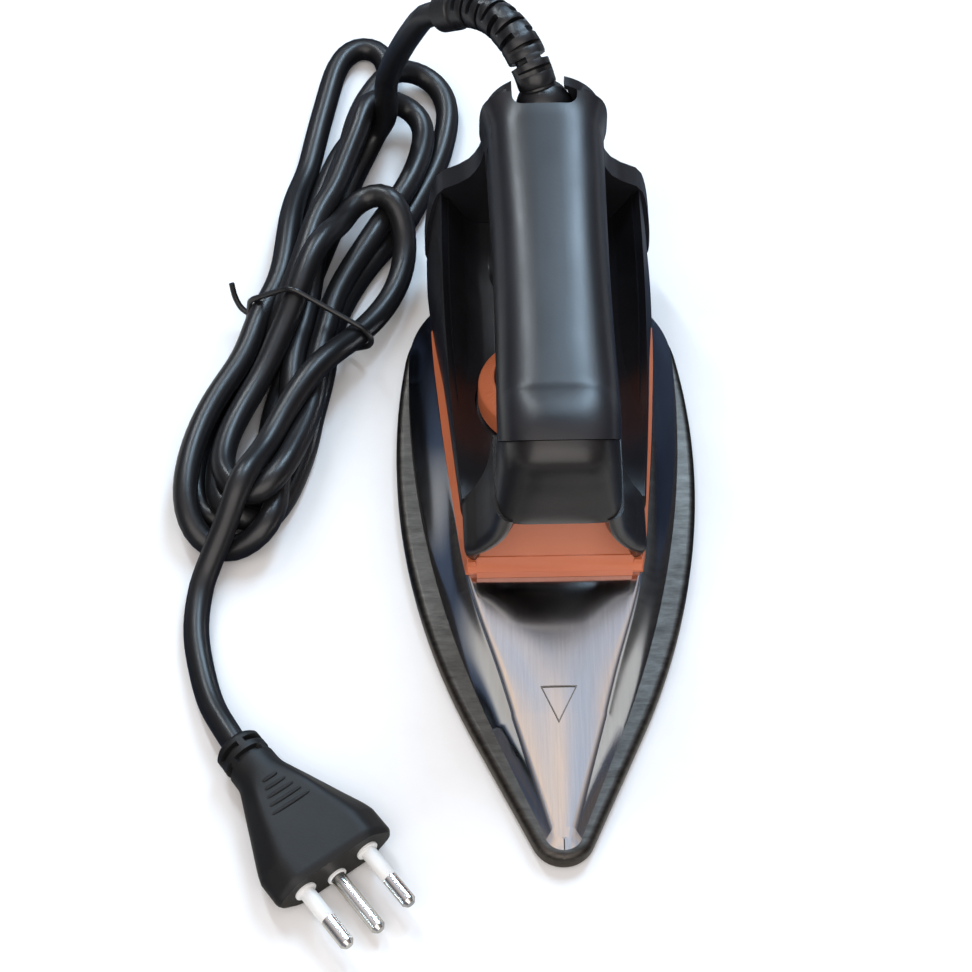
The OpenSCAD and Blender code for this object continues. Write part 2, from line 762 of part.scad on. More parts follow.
// Collar between the handle's rounded end and the heel cover's plate.
module heel_collar() {
    difference() {
        translate([0, 91, 0])
            rotate([90, 0, 0])
            linear_extrude(21)
            polygon(concat(
                [for (a = [180:-15:0]) let (p = handle_path([84, 0], 1, 0)[(180 - a) / 15]) [p[0], p[2]]],
                [for (a = [0:15:165]) let (p = handle_path([84, 0], -1, 0)[(180 - a) / 15]) [p[0], p[2]]]));
        linear_extrude(100)
            end_plan(0.15);
        translate([-30, 60, 40])
            cube([60, 40, 24]);
    }
}

// Slot over the ball: its half width in front, and how far right it runs out through the rim.
slot_half = 8.8;
slot_right = 5.4;

module heel_cover() {
    color([0.11, 0.11, 0.12])
    difference() {
        union() {
            difference() {
                heel_frame()
                    linear_extrude(heel_t)
                    heel_shape(0);
                heel_frame()
                    translate([0, 0, -1])
                    linear_extrude(1 + rim_h)
                    heel_shape(rim_w);
            }
            heel_collar();
        }
        translate(ball_at)
            sphere(r = ball_r + 0.05, $fn = 64);
        pivot_bore();
        translate([-slot_half, 84.6, 79.5])
            cube([2 * slot_half, 5, 20]);
        translate([-slot_half, 84.6, 79.5])
            cube([slot_half + slot_right, 20, 20]);
        translate([-seat_half - 0.2, 70, seat_low - 1])
            cube([2 * seat_half + 0.4, 18.2, 30]);
        heel_frame()
            translate([0, 20, -1])
            cylinder(r = 1.7, h = 20, $fn = 32);
        heel_frame()
            translate([0, 20, -1])
            cylinder(r = 3.6, h = 1 + rim_h + 2, $fn = 40);
    }
}

// Screw through the heel cover into the terminal block's lug.
module heel_screw() {
    color([0.7, 0.7, 0.7])
    heel_frame()
        translate([0, 20, 0])
        difference() {
            union() {
                translate([0, 0, rim_h + 0.2])
                    cylinder(r = 3.3, h = 1.8, $fn = 40);
                translate([0, 0, rim_h + 1.8])
                    cylinder(r = 1.5, h = 10, $fn = 32);
            }
            translate([0, 0, rim_h + 0.2])
                cube([0.9, 5, 1.8], center = true);
            translate([0, 0, rim_h + 0.2])
                cube([5, 0.9, 1.8], center = true);
        }
}

// ---------- wiring ----------

block_low = 15.4;
term_x = [-9, 0, 9];
wire_r = 1.1;

module terminal_block() {
    color([0.85, 0.83, 0.76])
    difference() {
        union() {
            translate([-14, block_y, block_low])
                cube([28, 8, block_top - block_low]);
            for (x = [-4.5, 4.5])
                translate([x - 0.8, block_y, block_top])
                cube([1.6, 8, 1.2]);
            translate([-3, block_y + 8, 17.6])
                cube([6, 3.2, 4.6]);
        }
        for (x = term_x)
            translate([x, block_y + 8.5, 18.6])
            rotate([90, 0, 0])
            cylinder(r = 1.2, h = 5.5, $fn = 32);
        heel_frame()
            translate([0, 20, 4])
            cylinder(r = 1.5, h = 10, $fn = 32);
    }
}

module terminal_screws() {
    color([0.8, 0.68, 0.4])
    for (x = [term_x[0], term_x[2]])
        translate([x, block_y + 8, 18.6])
        rotate([-90, 0, 0])
        difference() {
            union() {
                translate([0, 0, -5])
                    cylinder(r = 1.19, h = 5, $fn = 32);
                cylinder(r = 2.1, h = 1.4, $fn = 32);
            }
            translate([0, 0, 1.4])
                cube([5, 0.6, 1.2], center = true);
        }
}

module wire(points) {
    solid_loft(tube_rings(through(points, 4), wire_r, 10));
}

// A core from the terminal block up the column to the ball, at offset x.
function core_up(x) = [[x * 3, block_y + 3, block_top + 0.7], [x * 2.4, block_y + 2.6, 25],
    [x, block_y, 30], [x, 75, 40], [x, 73, 52], [x, 72.5, 62], [x, 74.5, 70], [x, 77.2, 76]];

// A core from the terminal block to the element's pin on side s.
function core_pin(s) = [[s * 14.7, 81, 18.6], [s * 17, 79, 18.9], [s * 19, 74, 20],
    [s * 19.4, 69, 20.6], [s * 18.8, 64.6, 20.2], [s * 18.6, 63.2, 18.8]];

module live_wire() {
    color([0.45, 0.25, 0.15]) {
        wire(core_up(-3));
        wire(core_pin(-1));
    }
}

module neutral_wire() {
    color([0.2, 0.4, 0.7]) {
        wire(core_up(3));
        wire(core_pin(1));
    }
}

module earth_wire() {
    color([0.3, 0.6, 0.25]) {
        wire(core_up(0));
        wire([[0, block_y - 0.05, 19.6], [0, 75, 19.6], [0, 73.2, 19], [0, 71.6, 18.6]]);
    }
}

// Ring tongue under the rear bolt, with a crimp for the earth core.
module earth_tag() {
    color([0.75, 0.76, 0.76])
    translate([0, bolt_y[1], post_top[1]])
    difference() {
        union() {
            cylinder(r = 4, h = tag_t, $fn = 40);
            translate([-1.4, 0, 0])
                cube([2.8, 5.4, tag_t]);
        }
        translate([0, 0, -1])
            cylinder(r = bolt_r + 0.1, h = 3, $fn = 32);
    }
}

// ---------- ball joint and lead ----------

pivot_r = 1.5;
pivot_deep = 4;

// Bore for the pin that the ball turns on.
module pivot_bore() {
    translate(ball_at - [0, 0, ball_r + pivot_deep + 0.3])
        cylinder(r = pivot_r + 0.05, h = pivot_deep + 4, $fn = 32);
}

// Saddle below and in front of the ball.
module ball_seat() {
    color([0.75, 0.73, 0.68])
    difference() {
        translate([-seat_half, seat_front, seat_low])
            cube([2 * seat_half, 7.8, 15.6]);
        translate(ball_at)
            sphere(r = ball_r + 0.05, $fn = 64);
        pivot_bore();
    }
}

// Turns +Z to the direction d.
module aim(d) {
    rotate([0, acos(d[2] / norm(d)), atan2(d[1], d[0])])
        children();
}

guard_route = [[0, 88, 82], [-3, 94.5, 89], [-6.5, 101, 93], [-12, 109, 94], [-19, 117, 90],
    [-26.5, 123, 83]];
lead_route = [[-26.75, 123.2, 82.8], [-28.9, 124.9, 80.7], [-31.6, 127.4, 77], [-35.5, 132, 66], [-39, 138.5, 52],
    [-42, 144.5, 38], [-44, 149.5, 25]];
exit_dir = unit(guard_route[1] - guard_route[0]);
neck_len = ball_r + 0.8;
neck_r = 4.4;

module cord_ball() {
    color([0.1, 0.1, 0.1])
    translate(ball_at) {
        sphere(r = ball_r, $fn = 64);
        aim(exit_dir)
            cylinder(r = neck_r, h = neck_len, $fn = 48);
        translate([0, 0, -ball_r - pivot_deep])
            cylinder(r = pivot_r, h = pivot_deep + 2, $fn = 32);
    }
}

guard_ribs = 12;

// Route from the end of the neck to the end of the guard.
function guard_line() =
    concat([ball_at + exit_dir * neck_len], through([for (i = [1:5]) guard_route[i]], 12));

function guard_rad(i, n) =
    let (t = i / n, rib = i % 4)
    (guard_r - 1.0 * t) - (i == 0 ? guard_r - neck_r : rib < 2 ? 0 : 1.1);

module bend_guard() {
    line = guard_line();
    n = len(line) - 1;
    color([0.1, 0.1, 0.1])
    solid_loft(tube_rings(line, [for (i = [0:n]) guard_rad(i, n)], 12));
}

module cord_lead() {
    color([0.1, 0.1, 0.1])
    solid_loft(tube_rings(through(lead_route, 5), cord_d / 2, 12));
}

hank_low = 0.2;
hank_h = 23.4;
hank_top = [-44, 168];
hank_mid = [-69, 76];
hank_end = [-84, 14];
hank_side = unit([0.94, -0.34]);
top_bend = 22;
end_bend = 18;
waist = 17;

// Waisted outline with round ends.
module cord_hank() {
    color([0.1, 0.1, 0.1])
    translate([0, 0, hank_low])
    union() {
        translate([hank_top[0], hank_top[1], 0])
            cylinder(r = top_bend, h = hank_h, $fn = 64);
        translate([hank_end[0], hank_end[1], 0])
            cylinder(r = end_bend, h = hank_h, $fn = 64);
        linear_extrude(hank_h)
            polygon([hank_top - hank_side * (top_bend - 0.6), hank_top + hank_side * (top_bend - 0.6),
                hank_mid + hank_side * waist, hank_end + hank_side * (end_bend - 0.5),
                hank_end - hank_side * (end_bend - 0.5), hank_mid - hank_side * waist]);
    }
}

tie_r = 1.1;

// Wire tie over the waist of the hank and down both sides.
module hank_tie() {
    side = [hank_side[0], hank_side[1], 0];
    half = waist + tie_r + 0.7;
    mid = [hank_mid[0], hank_mid[1], 0];
    top = hank_low + hank_h + tie_r + 0.5;
    color([0.12, 0.12, 0.12])
    solid_loft(tube_rings(through([mid - side * half + [0, 0, 2], mid - side * half + [0, 0, top - 2.4],
        mid - side * (half - 2.4) + [0, 0, top], mid + [0, 0, top],
        mid + side * (half - 2.4) + [0, 0, top], mid + side * half + [0, 0, top - 2.4],
        mid + side * half + [0, 0, 2]], 5), tie_r, 8));
}

plug_at = [-58, -102, 7];
plug_dir = [0.58, -0.81];
plug_turn = atan2(plug_dir[1], plug_dir[0]);
plug_len = 45;

tail_route = [[-91.6, -4.8, 9.5], [-93.8, -13, 5], [-95.5, -22, 3.8], [-95.5, -32, 3.7],
    [-94, -42, 4], [-91, -52, 5], [-87.4, -59.6, 6.4]];

module cord_tail() {
    last = plug_at - [cos(plug_turn), sin(plug_turn), 0] * (plug_len + 0.1);
    color([0.1, 0.1, 0.1])
    solid_loft(tube_rings(through(concat(tail_route, [last]), 5), cord_d / 2, 12));
}

// ---------- plug ----------

// Frame on the plug's front face: X along the pins, Y across them.
module plug_frame() {
    translate(plug_at)
        rotate([0, 0, plug_turn])
        children();
}

// Half width and half height of the plug's body along its axis.
body_w = [[-45, 5.4], [-44, 6.4], [-35, 6.6], [-31, 8.4], [-22, 14.4], [-13, 17], [-2, 17.6], [0, 16.6]];
body_h = [[-45, 5.4], [-44, 6.4], [-35, 6.5], [-22, 6.7], [-2, 6.8], [0, 6]];

function plug_ring(s) =
    let (w = smooth(body_w, s), h = smooth(body_h, s), p = s < -35 ? 1 : 0.55)
    [for (a = [0:12:348])
        [s, -w * sign(cos(a)) * abs(cos(a)) ^ p, h * sign(sin(a)) * abs(sin(a)) ^ p]];

module plug_body() {
    color([0.1, 0.1, 0.1])
    plug_frame()
    difference() {
        solid_loft([for (s = [-45, -44.4, -44, -40, -35.2, -34.4, -32, -29, -26, -22, -17, -12, -7, -2,
            -0.8, 0]) plug_ring(s)]);
        for (s = [-1, 1])
            translate([-9, s * pin_gap / 2, 0])
            rotate([0, 90, 0])
            cylinder(d = pin_d - 0.8, h = 12, $fn = 40);
        translate([-9, 0, -3])
            rotate([0, 90, 0])
            cylinder(d = pin_d, h = 12, $fn = 40);
    }
}

sleeve_len = 10;

module pin_tip(d, from, to) {
    rotate([0, 90, 0])
        rotate_extrude($fn = 40)
        polygon([[0, from], [d / 2, from], [d / 2, to - 1], [d / 2 - 0.8, to], [0, to]]);
}

module plug_pins() {
    color([0.8, 0.8, 0.78])
    plug_frame()
    for (s = [-1, 1])
        translate([0, s * pin_gap / 2, 0]) {
            pin_tip(pin_d - 1.22, -8.8, sleeve_len + 1.5);
            pin_tip(pin_d, sleeve_len + 0.02, pin_len);
        }
}

module plug_earth_pin() {
    color([0.8, 0.8, 0.78])
    plug_frame()
    translate([0, 0, -3])
        union() {
            pin_tip(pin_d - 1, -8.8, 2.5);
            pin_tip(pin_d - 0.02, 1, pin_len);
        }
}

module plug_sleeves() {
    color([0.93, 0.93, 0.92])
    plug_frame()
    for (s = [-1, 1])
        translate([0.02, s * pin_gap / 2, 0])
        rotate([0, 90, 0])
        difference() {
            cylinder(d = pin_d - 0.4, h = sleeve_len - 0.02, $fn = 40);
            translate([0, 0, -1])
                cylinder(d = pin_d - 1.2, h = sleeve_len + 2, $fn = 40);
        }
}

soleplate();
heating_element();
element_terminals();
sole_cover();
cover_shell();
body_bolts();
thermostat_base();
thermostat_blades();
thermal_fuse();
trim_frame();
body_shell();
rear_column();
handle_lower();
handle_upper();
front_cap();
handle_screws();
heel_cover();
heel_screw();
terminal_block();
terminal_screws();
live_wire();
neutral_wire();
earth_wire();
earth_tag();
dial();
dial_cap();
dial_spindle();
ball_seat();
cord_ball();
bend_guard();
cord_lead();
cord_hank();
hank_tie();
cord_tail();
plug_body();
plug_pins();
plug_earth_pin();
plug_sleeves();
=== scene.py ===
import math
import bpy
import bmesh
import numpy as np
from mathutils import Matrix, Vector


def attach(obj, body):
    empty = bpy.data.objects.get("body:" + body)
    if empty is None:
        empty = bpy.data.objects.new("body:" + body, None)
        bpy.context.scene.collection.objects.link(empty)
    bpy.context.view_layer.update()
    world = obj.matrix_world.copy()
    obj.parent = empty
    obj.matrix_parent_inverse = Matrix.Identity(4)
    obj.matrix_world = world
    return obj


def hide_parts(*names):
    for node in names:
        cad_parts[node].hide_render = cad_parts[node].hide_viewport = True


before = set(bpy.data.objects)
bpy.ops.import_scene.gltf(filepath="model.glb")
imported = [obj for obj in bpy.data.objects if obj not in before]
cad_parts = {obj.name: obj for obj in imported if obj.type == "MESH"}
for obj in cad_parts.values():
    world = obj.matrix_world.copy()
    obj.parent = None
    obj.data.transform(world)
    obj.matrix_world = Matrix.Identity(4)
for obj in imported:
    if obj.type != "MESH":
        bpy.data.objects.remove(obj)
for name in ("Cube", "Light", "Camera"):
    if name in bpy.data.objects:
        bpy.data.objects.remove(bpy.data.objects[name])
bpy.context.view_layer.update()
MM = 0.001
scene = bpy.context.scene

# ---------- camera, at the photograph's viewing angle ----------

YAW, ELEV, ROLL = math.radians(2.432), math.radians(55.0), math.radians(1.04)
CAMERA_AT = Vector((-35.14, -414.2, 621.27)) * MM
fwd = Vector((math.sin(YAW) * math.cos(ELEV), math.cos(YAW) * math.cos(ELEV), -math.sin(ELEV)))
right0 = Vector((math.cos(YAW), -math.sin(YAW), 0))
up0 = right0.cross(fwd)
right = math.cos(ROLL) * right0 + math.sin(ROLL) * up0
up = -math.sin(ROLL) * right0 + math.cos(ROLL) * up0
cam = bpy.data.objects.new("camera", bpy.data.cameras.new("camera"))
scene.collection.objects.link(cam)
cam.data.lens, cam.data.sensor_width = 100.0, 36.0
cam.data.clip_start, cam.data.clip_end = 0.05, 20
cam.matrix_world = Matrix.Translation(CAMERA_AT) @ Matrix((right, up, -fwd)).transposed().to_4x4()
scene.camera = cam

# ---------- shared lines of the shapes, as in the CAD: all in mm, tables of (y, value) ----------


def smooth(k, t):
    """The smooth curve through the points k, read at t and held level past its ends."""
    k = np.asarray(k, float)
    x, v = k[:, 0], k[:, 1]
    s = np.empty(len(x))
    s[0], s[-1] = (v[1] - v[0]) / (x[1] - x[0]), (v[-1] - v[-2]) / (x[-1] - x[-2])
    s[1:-1] = (v[2:] - v[:-2]) / (x[2:] - x[:-2])
    c = np.clip(t, x[0], x[-1])
    i = np.clip(np.searchsorted(x, c, side="right") - 1, 0, len(x) - 2)
    w = x[i + 1] - x[i]
    u = (c - x[i]) / w
    r = (v[i] * (2 * u**3 - 3 * u**2 + 1) + s[i] * w * (u**3 - 2 * u**2 + u)
         + v[i + 1] * (3 * u**2 - 2 * u**3) + s[i + 1] * w * (u**3 - u**2))
    return r if np.ndim(t) else float(r)


EDGE_X = [(-94, 1.6), (-86, 5.0), (-72, 9.4), (-52, 15), (-26, 22.8), (0, 26.2), (31, 29.2), (60, 31),
          (74, 30), (86, 24)]
EDGE_Z = [(-94, 6.8), (-72, 12.2), (-50, 17.4), (-30, 22), (-25, 22.6)]
TRIM_RISE = [(-24, 6.1), (-16, 4.9), (-8, 3.8), (0, 3.6), (35, 3.2), (50, 1.8), (62, 0.3)]
TRIM_SLOPE = [(-24, 0.3), (-16, 1.2), (-8, 1.9), (35, 1.8), (50, 1), (62, 0.2)]
SKIRT_DROP = [(60, 0), (66, 1.6), (74, 5), (84, 8.6), (92, 9.6)]
SKIRT_X = [(60, 31.2), (76, 32.1), (92, 32.2)]
RIDGE_X = [(-24, 22.6), (-8, 24.5), (30, 27.2), (60, 28.2), (92, 28.2)]
RIDGE_Z = [(-24, 33.4), (-8, 35.6), (40, 40.4), (92, 45.2)]
DECK_Z = [(-8, 35.6), (9, 32.9), (28, 29.9), (46, 27), (58, 26.8), (70, 28.4), (92, 30.6)]
TOP_Z = [(-26, 84.8), (10, 87), (50, 87.6), (86, 87)]
NOSE_Y, HEEL_Y = -99.7, 99.7
WALL, SOLE_T = 2.2, 6.0


def part_z(y):
    """Height of the line between the cover and the trim."""
    return 22.6 - 0.03 * (y + 25)


def trim_top(y):
    return part_z(y) + smooth(TRIM_RISE, y)


def trim_x(y):
    return smooth(EDGE_X, y) + 0.3


def cover_top(y):
    return smooth(EDGE_Z, y) if y < -25 else part_z(y) if y < 60 else part_z(60) - smooth(SKIRT_DROP, y)


def body_low(y):
    """Half width and height of the body's lower edge."""
    if y < 60:
        return trim_x(y) - smooth(TRIM_SLOPE, y), 0.08 + trim_top(y)
    return smooth(SKIRT_X, y), 0.08 + trim_top(60) - smooth(SKIRT_DROP, y)


def arc(cx, cy, r, a0, a1, n):
    """Points of an arc, its angles in degrees."""
    a = np.radians(np.linspace(a0, a1, n + 1))
    return [(cx + r * math.cos(t), cy + r * math.sin(t)) for t in a]


def boat_half(w, wy, a, ny, nr, ra, rr, inset, n):
    """Half outline from nose to heel: nose arc of radius nr, a long side arc and a heel arc of radius rr."""
    s, c = math.sin(math.radians(a)), math.cos(math.radians(a))
    big = (nr - s * (ny + nr) - c * w + s * wy) / (1 - c)
    rx = w - big + (big - rr) * math.cos(math.radians(ra))
    ry = wy + (big - rr) * math.sin(math.radians(ra))
    return (arc(0, ny + nr, nr - inset, -90, -a, n) + arc(w - big, wy, big - inset, -a, ra, 3 * n)
            + arc(rx, ry, rr - inset, ra + 3, 90, n))


def sole_half(inset, n=20):
    return boat_half(41.7, 26, 24.5, NOSE_Y, 8.4, 9.5, 28, inset, n)


def cover_half(inset, n=16):
    return boat_half(38, 48, 21.5, NOSE_Y + 2.6, 5, 2.4, 28, inset, n)


# ---------- mesh helpers ----------


def finish_mesh(me, angle):
    """Smooth shading, with edges sharper than angle left sharp."""
    me.update()
    me.polygons.foreach_set("use_smooth", [True] * len(me.polygons))
    if angle < 180:
        me.set_sharp_from_angle(angle=math.radians(angle))


def add(name, verts, faces, angle=35, merge=None):
    """New object from points in mm, its faces turned outwards and points closer than merge joined."""
    me = bpy.data.meshes.new(name)
    me.from_pydata([tuple(c * MM for c in v) for v in verts], [], faces)
    bm = bmesh.new()
    bm.from_mesh(me)
    if merge:
        bmesh.ops.remove_doubles(bm, verts=bm.verts, dist=merge * MM)
    bmesh.ops.recalc_face_normals(bm, faces=bm.faces)
    bm.to_mesh(me)
    bm.free()
    finish_mesh(me, angle)
    ob = bpy.data.objects.new(name, me)
    scene.collection.objects.link(ob)
    return ob


def grid(rows, loop=False):
    """Verts and quads of rows of points; loop closes each row."""
    n, m = len(rows[0]), len(rows)
    verts = [tuple(p) for r in rows for p in r]
    faces = [(s * n + i, s * n + (i + 1) % n, (s + 1) * n + (i + 1) % n, (s + 1) * n + i)
             for s in range(m - 1) for i in range(n if loop else n - 1)]
    return verts, faces


def shell(name, outer, inner, angle=35):
    """Closed thin shell between two sets of open rows."""
    vo, fo = grid(outer)
    vi, fi = grid(inner)
    n, m, k = len(outer[0]), len(outer), len(vo)
    faces = list(fo) + [tuple(k + i for i in reversed(f)) for f in fi]
    for s in range(m - 1):
        for i in (0, n - 1):
            faces.append((s * n + i, (s + 1) * n + i, k + (s + 1) * n + i, k + s * n + i))
    for s in (0, m - 1):
        for i in range(n - 1):
            faces.append((s * n + i, s * n + i + 1, k + s * n + i + 1, k + s * n + i))
    return add(name, vo + vi, faces, angle)


def solid(name, rings, angle=35):
    """Closed solid through closed rings, capped at both ends."""
    v, f = grid(rings, loop=True)
    n, m = len(rings[0]), len(rings)
    f.append(tuple(range(n)))
    f.append(tuple((m - 1) * n + i for i in range(n)))
    return add(name, v, f, angle)


def spline(points, step):
    """Centripetal spline through points, sampled about every step."""
    p = np.array(points, float)
    out = []
    for i in range(len(p) - 1):
        a, b = p[i], p[i + 1]
        h = math.sqrt(np.linalg.norm(b - a))
        ma = mb = (b - a) / h
        if i > 0:
            g = math.sqrt(np.linalg.norm(a - p[i - 1]))
            ma = (a - p[i - 1]) / g - (b - p[i - 1]) / (g + h) + (b - a) / h
        if i < len(p) - 2:
            g = math.sqrt(np.linalg.norm(p[i + 2] - b))
            mb = (b - a) / h - (p[i + 2] - a) / (g + h) + (p[i + 2] - b) / g
        for u in np.arange(max(int(h * h / step), 1)) / max(int(h * h / step), 1):
            out.append((2 * u**3 - 3 * u**2 + 1) * a + (u**3 - 2 * u**2 + u) * h * ma
                       + (3 * u**2 - 2 * u**3) * b + (u**3 - u**2) * h * mb)
    out.append(p[-1])
    q = np.array(out)
    s = np.r_[0, np.cumsum(np.linalg.norm(np.diff(q, axis=0), axis=1))]
    t = np.linspace(0, s[-1], int(round(s[-1] / step)) + 1)
    return np.stack([np.interp(t, s, q[:, k]) for k in range(3)], 1)


def frames(line):
    """Tangent, side and up at each point of a line, turned as little as possible."""
    t = np.gradient(line, axis=0)
    t /= np.linalg.norm(t, axis=1)[:, None]
    u = np.cross([0, 0, 1.0], t[0])
    u = u / np.linalg.norm(u) if np.linalg.norm(u) > 1e-6 else np.array([1.0, 0, 0])
    out = []
    for d in t:
        u = u - d * np.dot(u, d)
        u /= np.linalg.norm(u)
        out.append((d, u, np.cross(d, u)))
    return out


def turns(sides):
    """Angles once round, in radians."""
    return np.linspace(0, 2 * math.pi, sides, endpoint=False)


def ring_at(p, u, v, radii):
    """Closed ring round p in the plane of u and v, with a radius for each point."""
    return [tuple(p + r * (math.cos(t) * u + math.sin(t) * v)) for r, t in zip(radii, turns(len(radii)))]


def tube(name, line, radius, sides):
    """Round tube along a line."""
    radii = np.full(sides, radius)
    return solid(name, [ring_at(p, u, v, radii) for p, (_, u, v) in zip(line, frames(line))], 60)


# ---------- materials ----------


def material(name, color, rough, metal=0.0, spec=0.5):
    """Principled material: itself, its nodes, its links and its shader."""
    m = bpy.data.materials.new(name)
    m.use_nodes = True
    n = m.node_tree.nodes
    b = n["Principled BSDF"]
    b.inputs["Base Color"].default_value = (*color, 1)
    b.inputs["Roughness"].default_value = rough
    b.inputs["Metallic"].default_value = metal
    b.inputs["Specular IOR Level"].default_value = spec
    return m, n, m.node_tree.links, b


def coords(n, l, scale=(1, 1, 1)):
    """Object coordinates, stretched by scale."""
    tc = n.new("ShaderNodeTexCoord")
    mp = n.new("ShaderNodeMapping")
    mp.inputs["Scale"].default_value = scale
    l.new(tc.outputs["Object"], mp.inputs["Vector"])
    return mp.outputs["Vector"]


def noise(n, l, vec, scale, detail=4, rough=0.6):
    t = n.new("ShaderNodeTexNoise")
    t.inputs["Scale"].default_value = scale
    t.inputs["Detail"].default_value = detail
    t.inputs["Roughness"].default_value = rough
    l.new(vec, t.inputs["Vector"])
    return t.outputs["Fac"]


def ramp(n, l, fac, stops):
    """Colours at places along fac."""
    r = n.new("ShaderNodeValToRGB")
    e = r.color_ramp.elements
    while len(e) < len(stops):
        e.new(0.5)
    for el, (p, c) in zip(e, stops):
        el.position, el.color = p, (*c, 1)
    l.new(fac, r.inputs["Fac"])
    return r.outputs["Color"]


def grey(v):
    return (v, v, v)


def bump(n, l, b, height, strength, dist):
    """Fine relief on the shader b."""
    k = n.new("ShaderNodeBump")
    k.inputs["Strength"].default_value = strength
    k.inputs["Distance"].default_value = dist
    l.new(height, k.inputs["Height"])
    l.new(k.outputs["Normal"], b.inputs["Normal"])


def plastic(name, dark, light, rough, spread=0.08, grain=0.00004, scale=900.0, spec=0.5):
    """Moulded plastic or rubber: uneven tone and gloss, and a fine moulded grain."""
    m, n, l, b = material(name, light, rough, spec=spec)
    v = coords(n, l)
    l.new(ramp(n, l, noise(n, l, v, 24, 5), [(0.3, dark), (0.7, light)]), b.inputs["Base Color"])
    l.new(ramp(n, l, noise(n, l, v, 60, 6), [(0.25, grey(rough - spread)), (0.75, grey(rough + spread))]),
          b.inputs["Roughness"])
    bump(n, l, b, noise(n, l, v, scale, 3), 0.5, grain)
    return m


def brushed(name, dark, light, rough, stretch, grain, spread=0.06):
    """Metal with a fine directional grain, finest along the axis stretched most."""
    m, n, l, b = material(name, light, rough, metal=1.0)
    v = coords(n, l, stretch)
    fine = noise(n, l, v, 1.0, 6, 0.7)
    cloud = noise(n, l, coords(n, l), 18, 4)
    l.new(ramp(n, l, fine, [(0.3, dark), (0.7, light)]), b.inputs["Base Color"])
    l.new(ramp(n, l, cloud, [(0.3, grey(max(rough - spread, 0.02))), (0.7, grey(rough + spread))]),
          b.inputs["Roughness"])
    bump(n, l, b, fine, 0.35, grain)
    return m


BLACK = plastic("black_plastic", (0.008, 0.008, 0.010), (0.015, 0.015, 0.018), 0.34, 0.05)
CAP = plastic("cap_plastic", (0.008, 0.007, 0.007), (0.015, 0.013, 0.012), 0.33, 0.05)
HUB = plastic("hub_plastic", (0.008, 0.008, 0.009), (0.014, 0.014, 0.016), 0.42)
ORANGE = plastic("orange_plastic", (0.54, 0.140, 0.055), (0.63, 0.175, 0.075), 0.40, 0.05)
RUBBER = plastic("lead_rubber", (0.004, 0.004, 0.005), (0.010, 0.010, 0.011), 0.36, 0.06, 0.00005, 1500)
PLUG = plastic("plug_rubber", (0.005, 0.005, 0.005), (0.012, 0.012, 0.013), 0.5, 0.06, 0.00006, 1300, 0.35)
TIE_MAT = plastic("tie_plastic", (0.008, 0.008, 0.009), (0.014, 0.014, 0.015), 0.3)
WHITE = plastic("white_plastic", (0.78, 0.79, 0.78), (0.86, 0.86, 0.85), 0.38)
CERAMIC = plastic("ceramic", (0.55, 0.50, 0.40), (0.68, 0.63, 0.52), 0.3)
BROWN = plastic("brown_core", (0.16, 0.06, 0.03), (0.20, 0.08, 0.04), 0.45)
BLUE = plastic("blue_core", (0.03, 0.12, 0.40), (0.04, 0.15, 0.48), 0.45)
GREEN = plastic("green_core", (0.06, 0.30, 0.05), (0.10, 0.38, 0.07), 0.45)
CHROME = brushed("polished_cover", (0.60, 0.60, 0.61), (0.68, 0.68, 0.69), 0.13, (1500, 60, 60), 0.000006)
SOLE = brushed("cast_sole", (0.040, 0.036, 0.032), (0.095, 0.086, 0.078), 0.42, (160, 700, 300), 0.00003)
STEEL = brushed("plain_steel", (0.42, 0.42, 0.42), (0.56, 0.56, 0.56), 0.32, (300, 300, 300), 0.00002)
NICKEL = brushed("nickel", (0.86, 0.84, 0.80), (0.95, 0.93, 0.89), 0.24, (400, 400, 900), 0.000006)
SHEATH = brushed("element_sheath", (0.12, 0.12, 0.11), (0.2, 0.2, 0.19), 0.45, (400, 400, 400), 0.00003)
BRASS = brushed("brass", (0.55, 0.38, 0.14), (0.68, 0.50, 0.22), 0.28, (400, 400, 400), 0.00002)


def paint(ob, mat):
    ob.data.materials.clear()
    ob.data.materials.append(mat)


def dress(ob, mat, body, replaces=()):
    """Gives a piece its material, its body and the CAD nodes it stands for."""
    paint(ob, mat)
    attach(ob, body)
    if replaces:
        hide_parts(*replaces)
    return ob


# ---------- the lead: its route, relaxed so that no run lies in another ----------

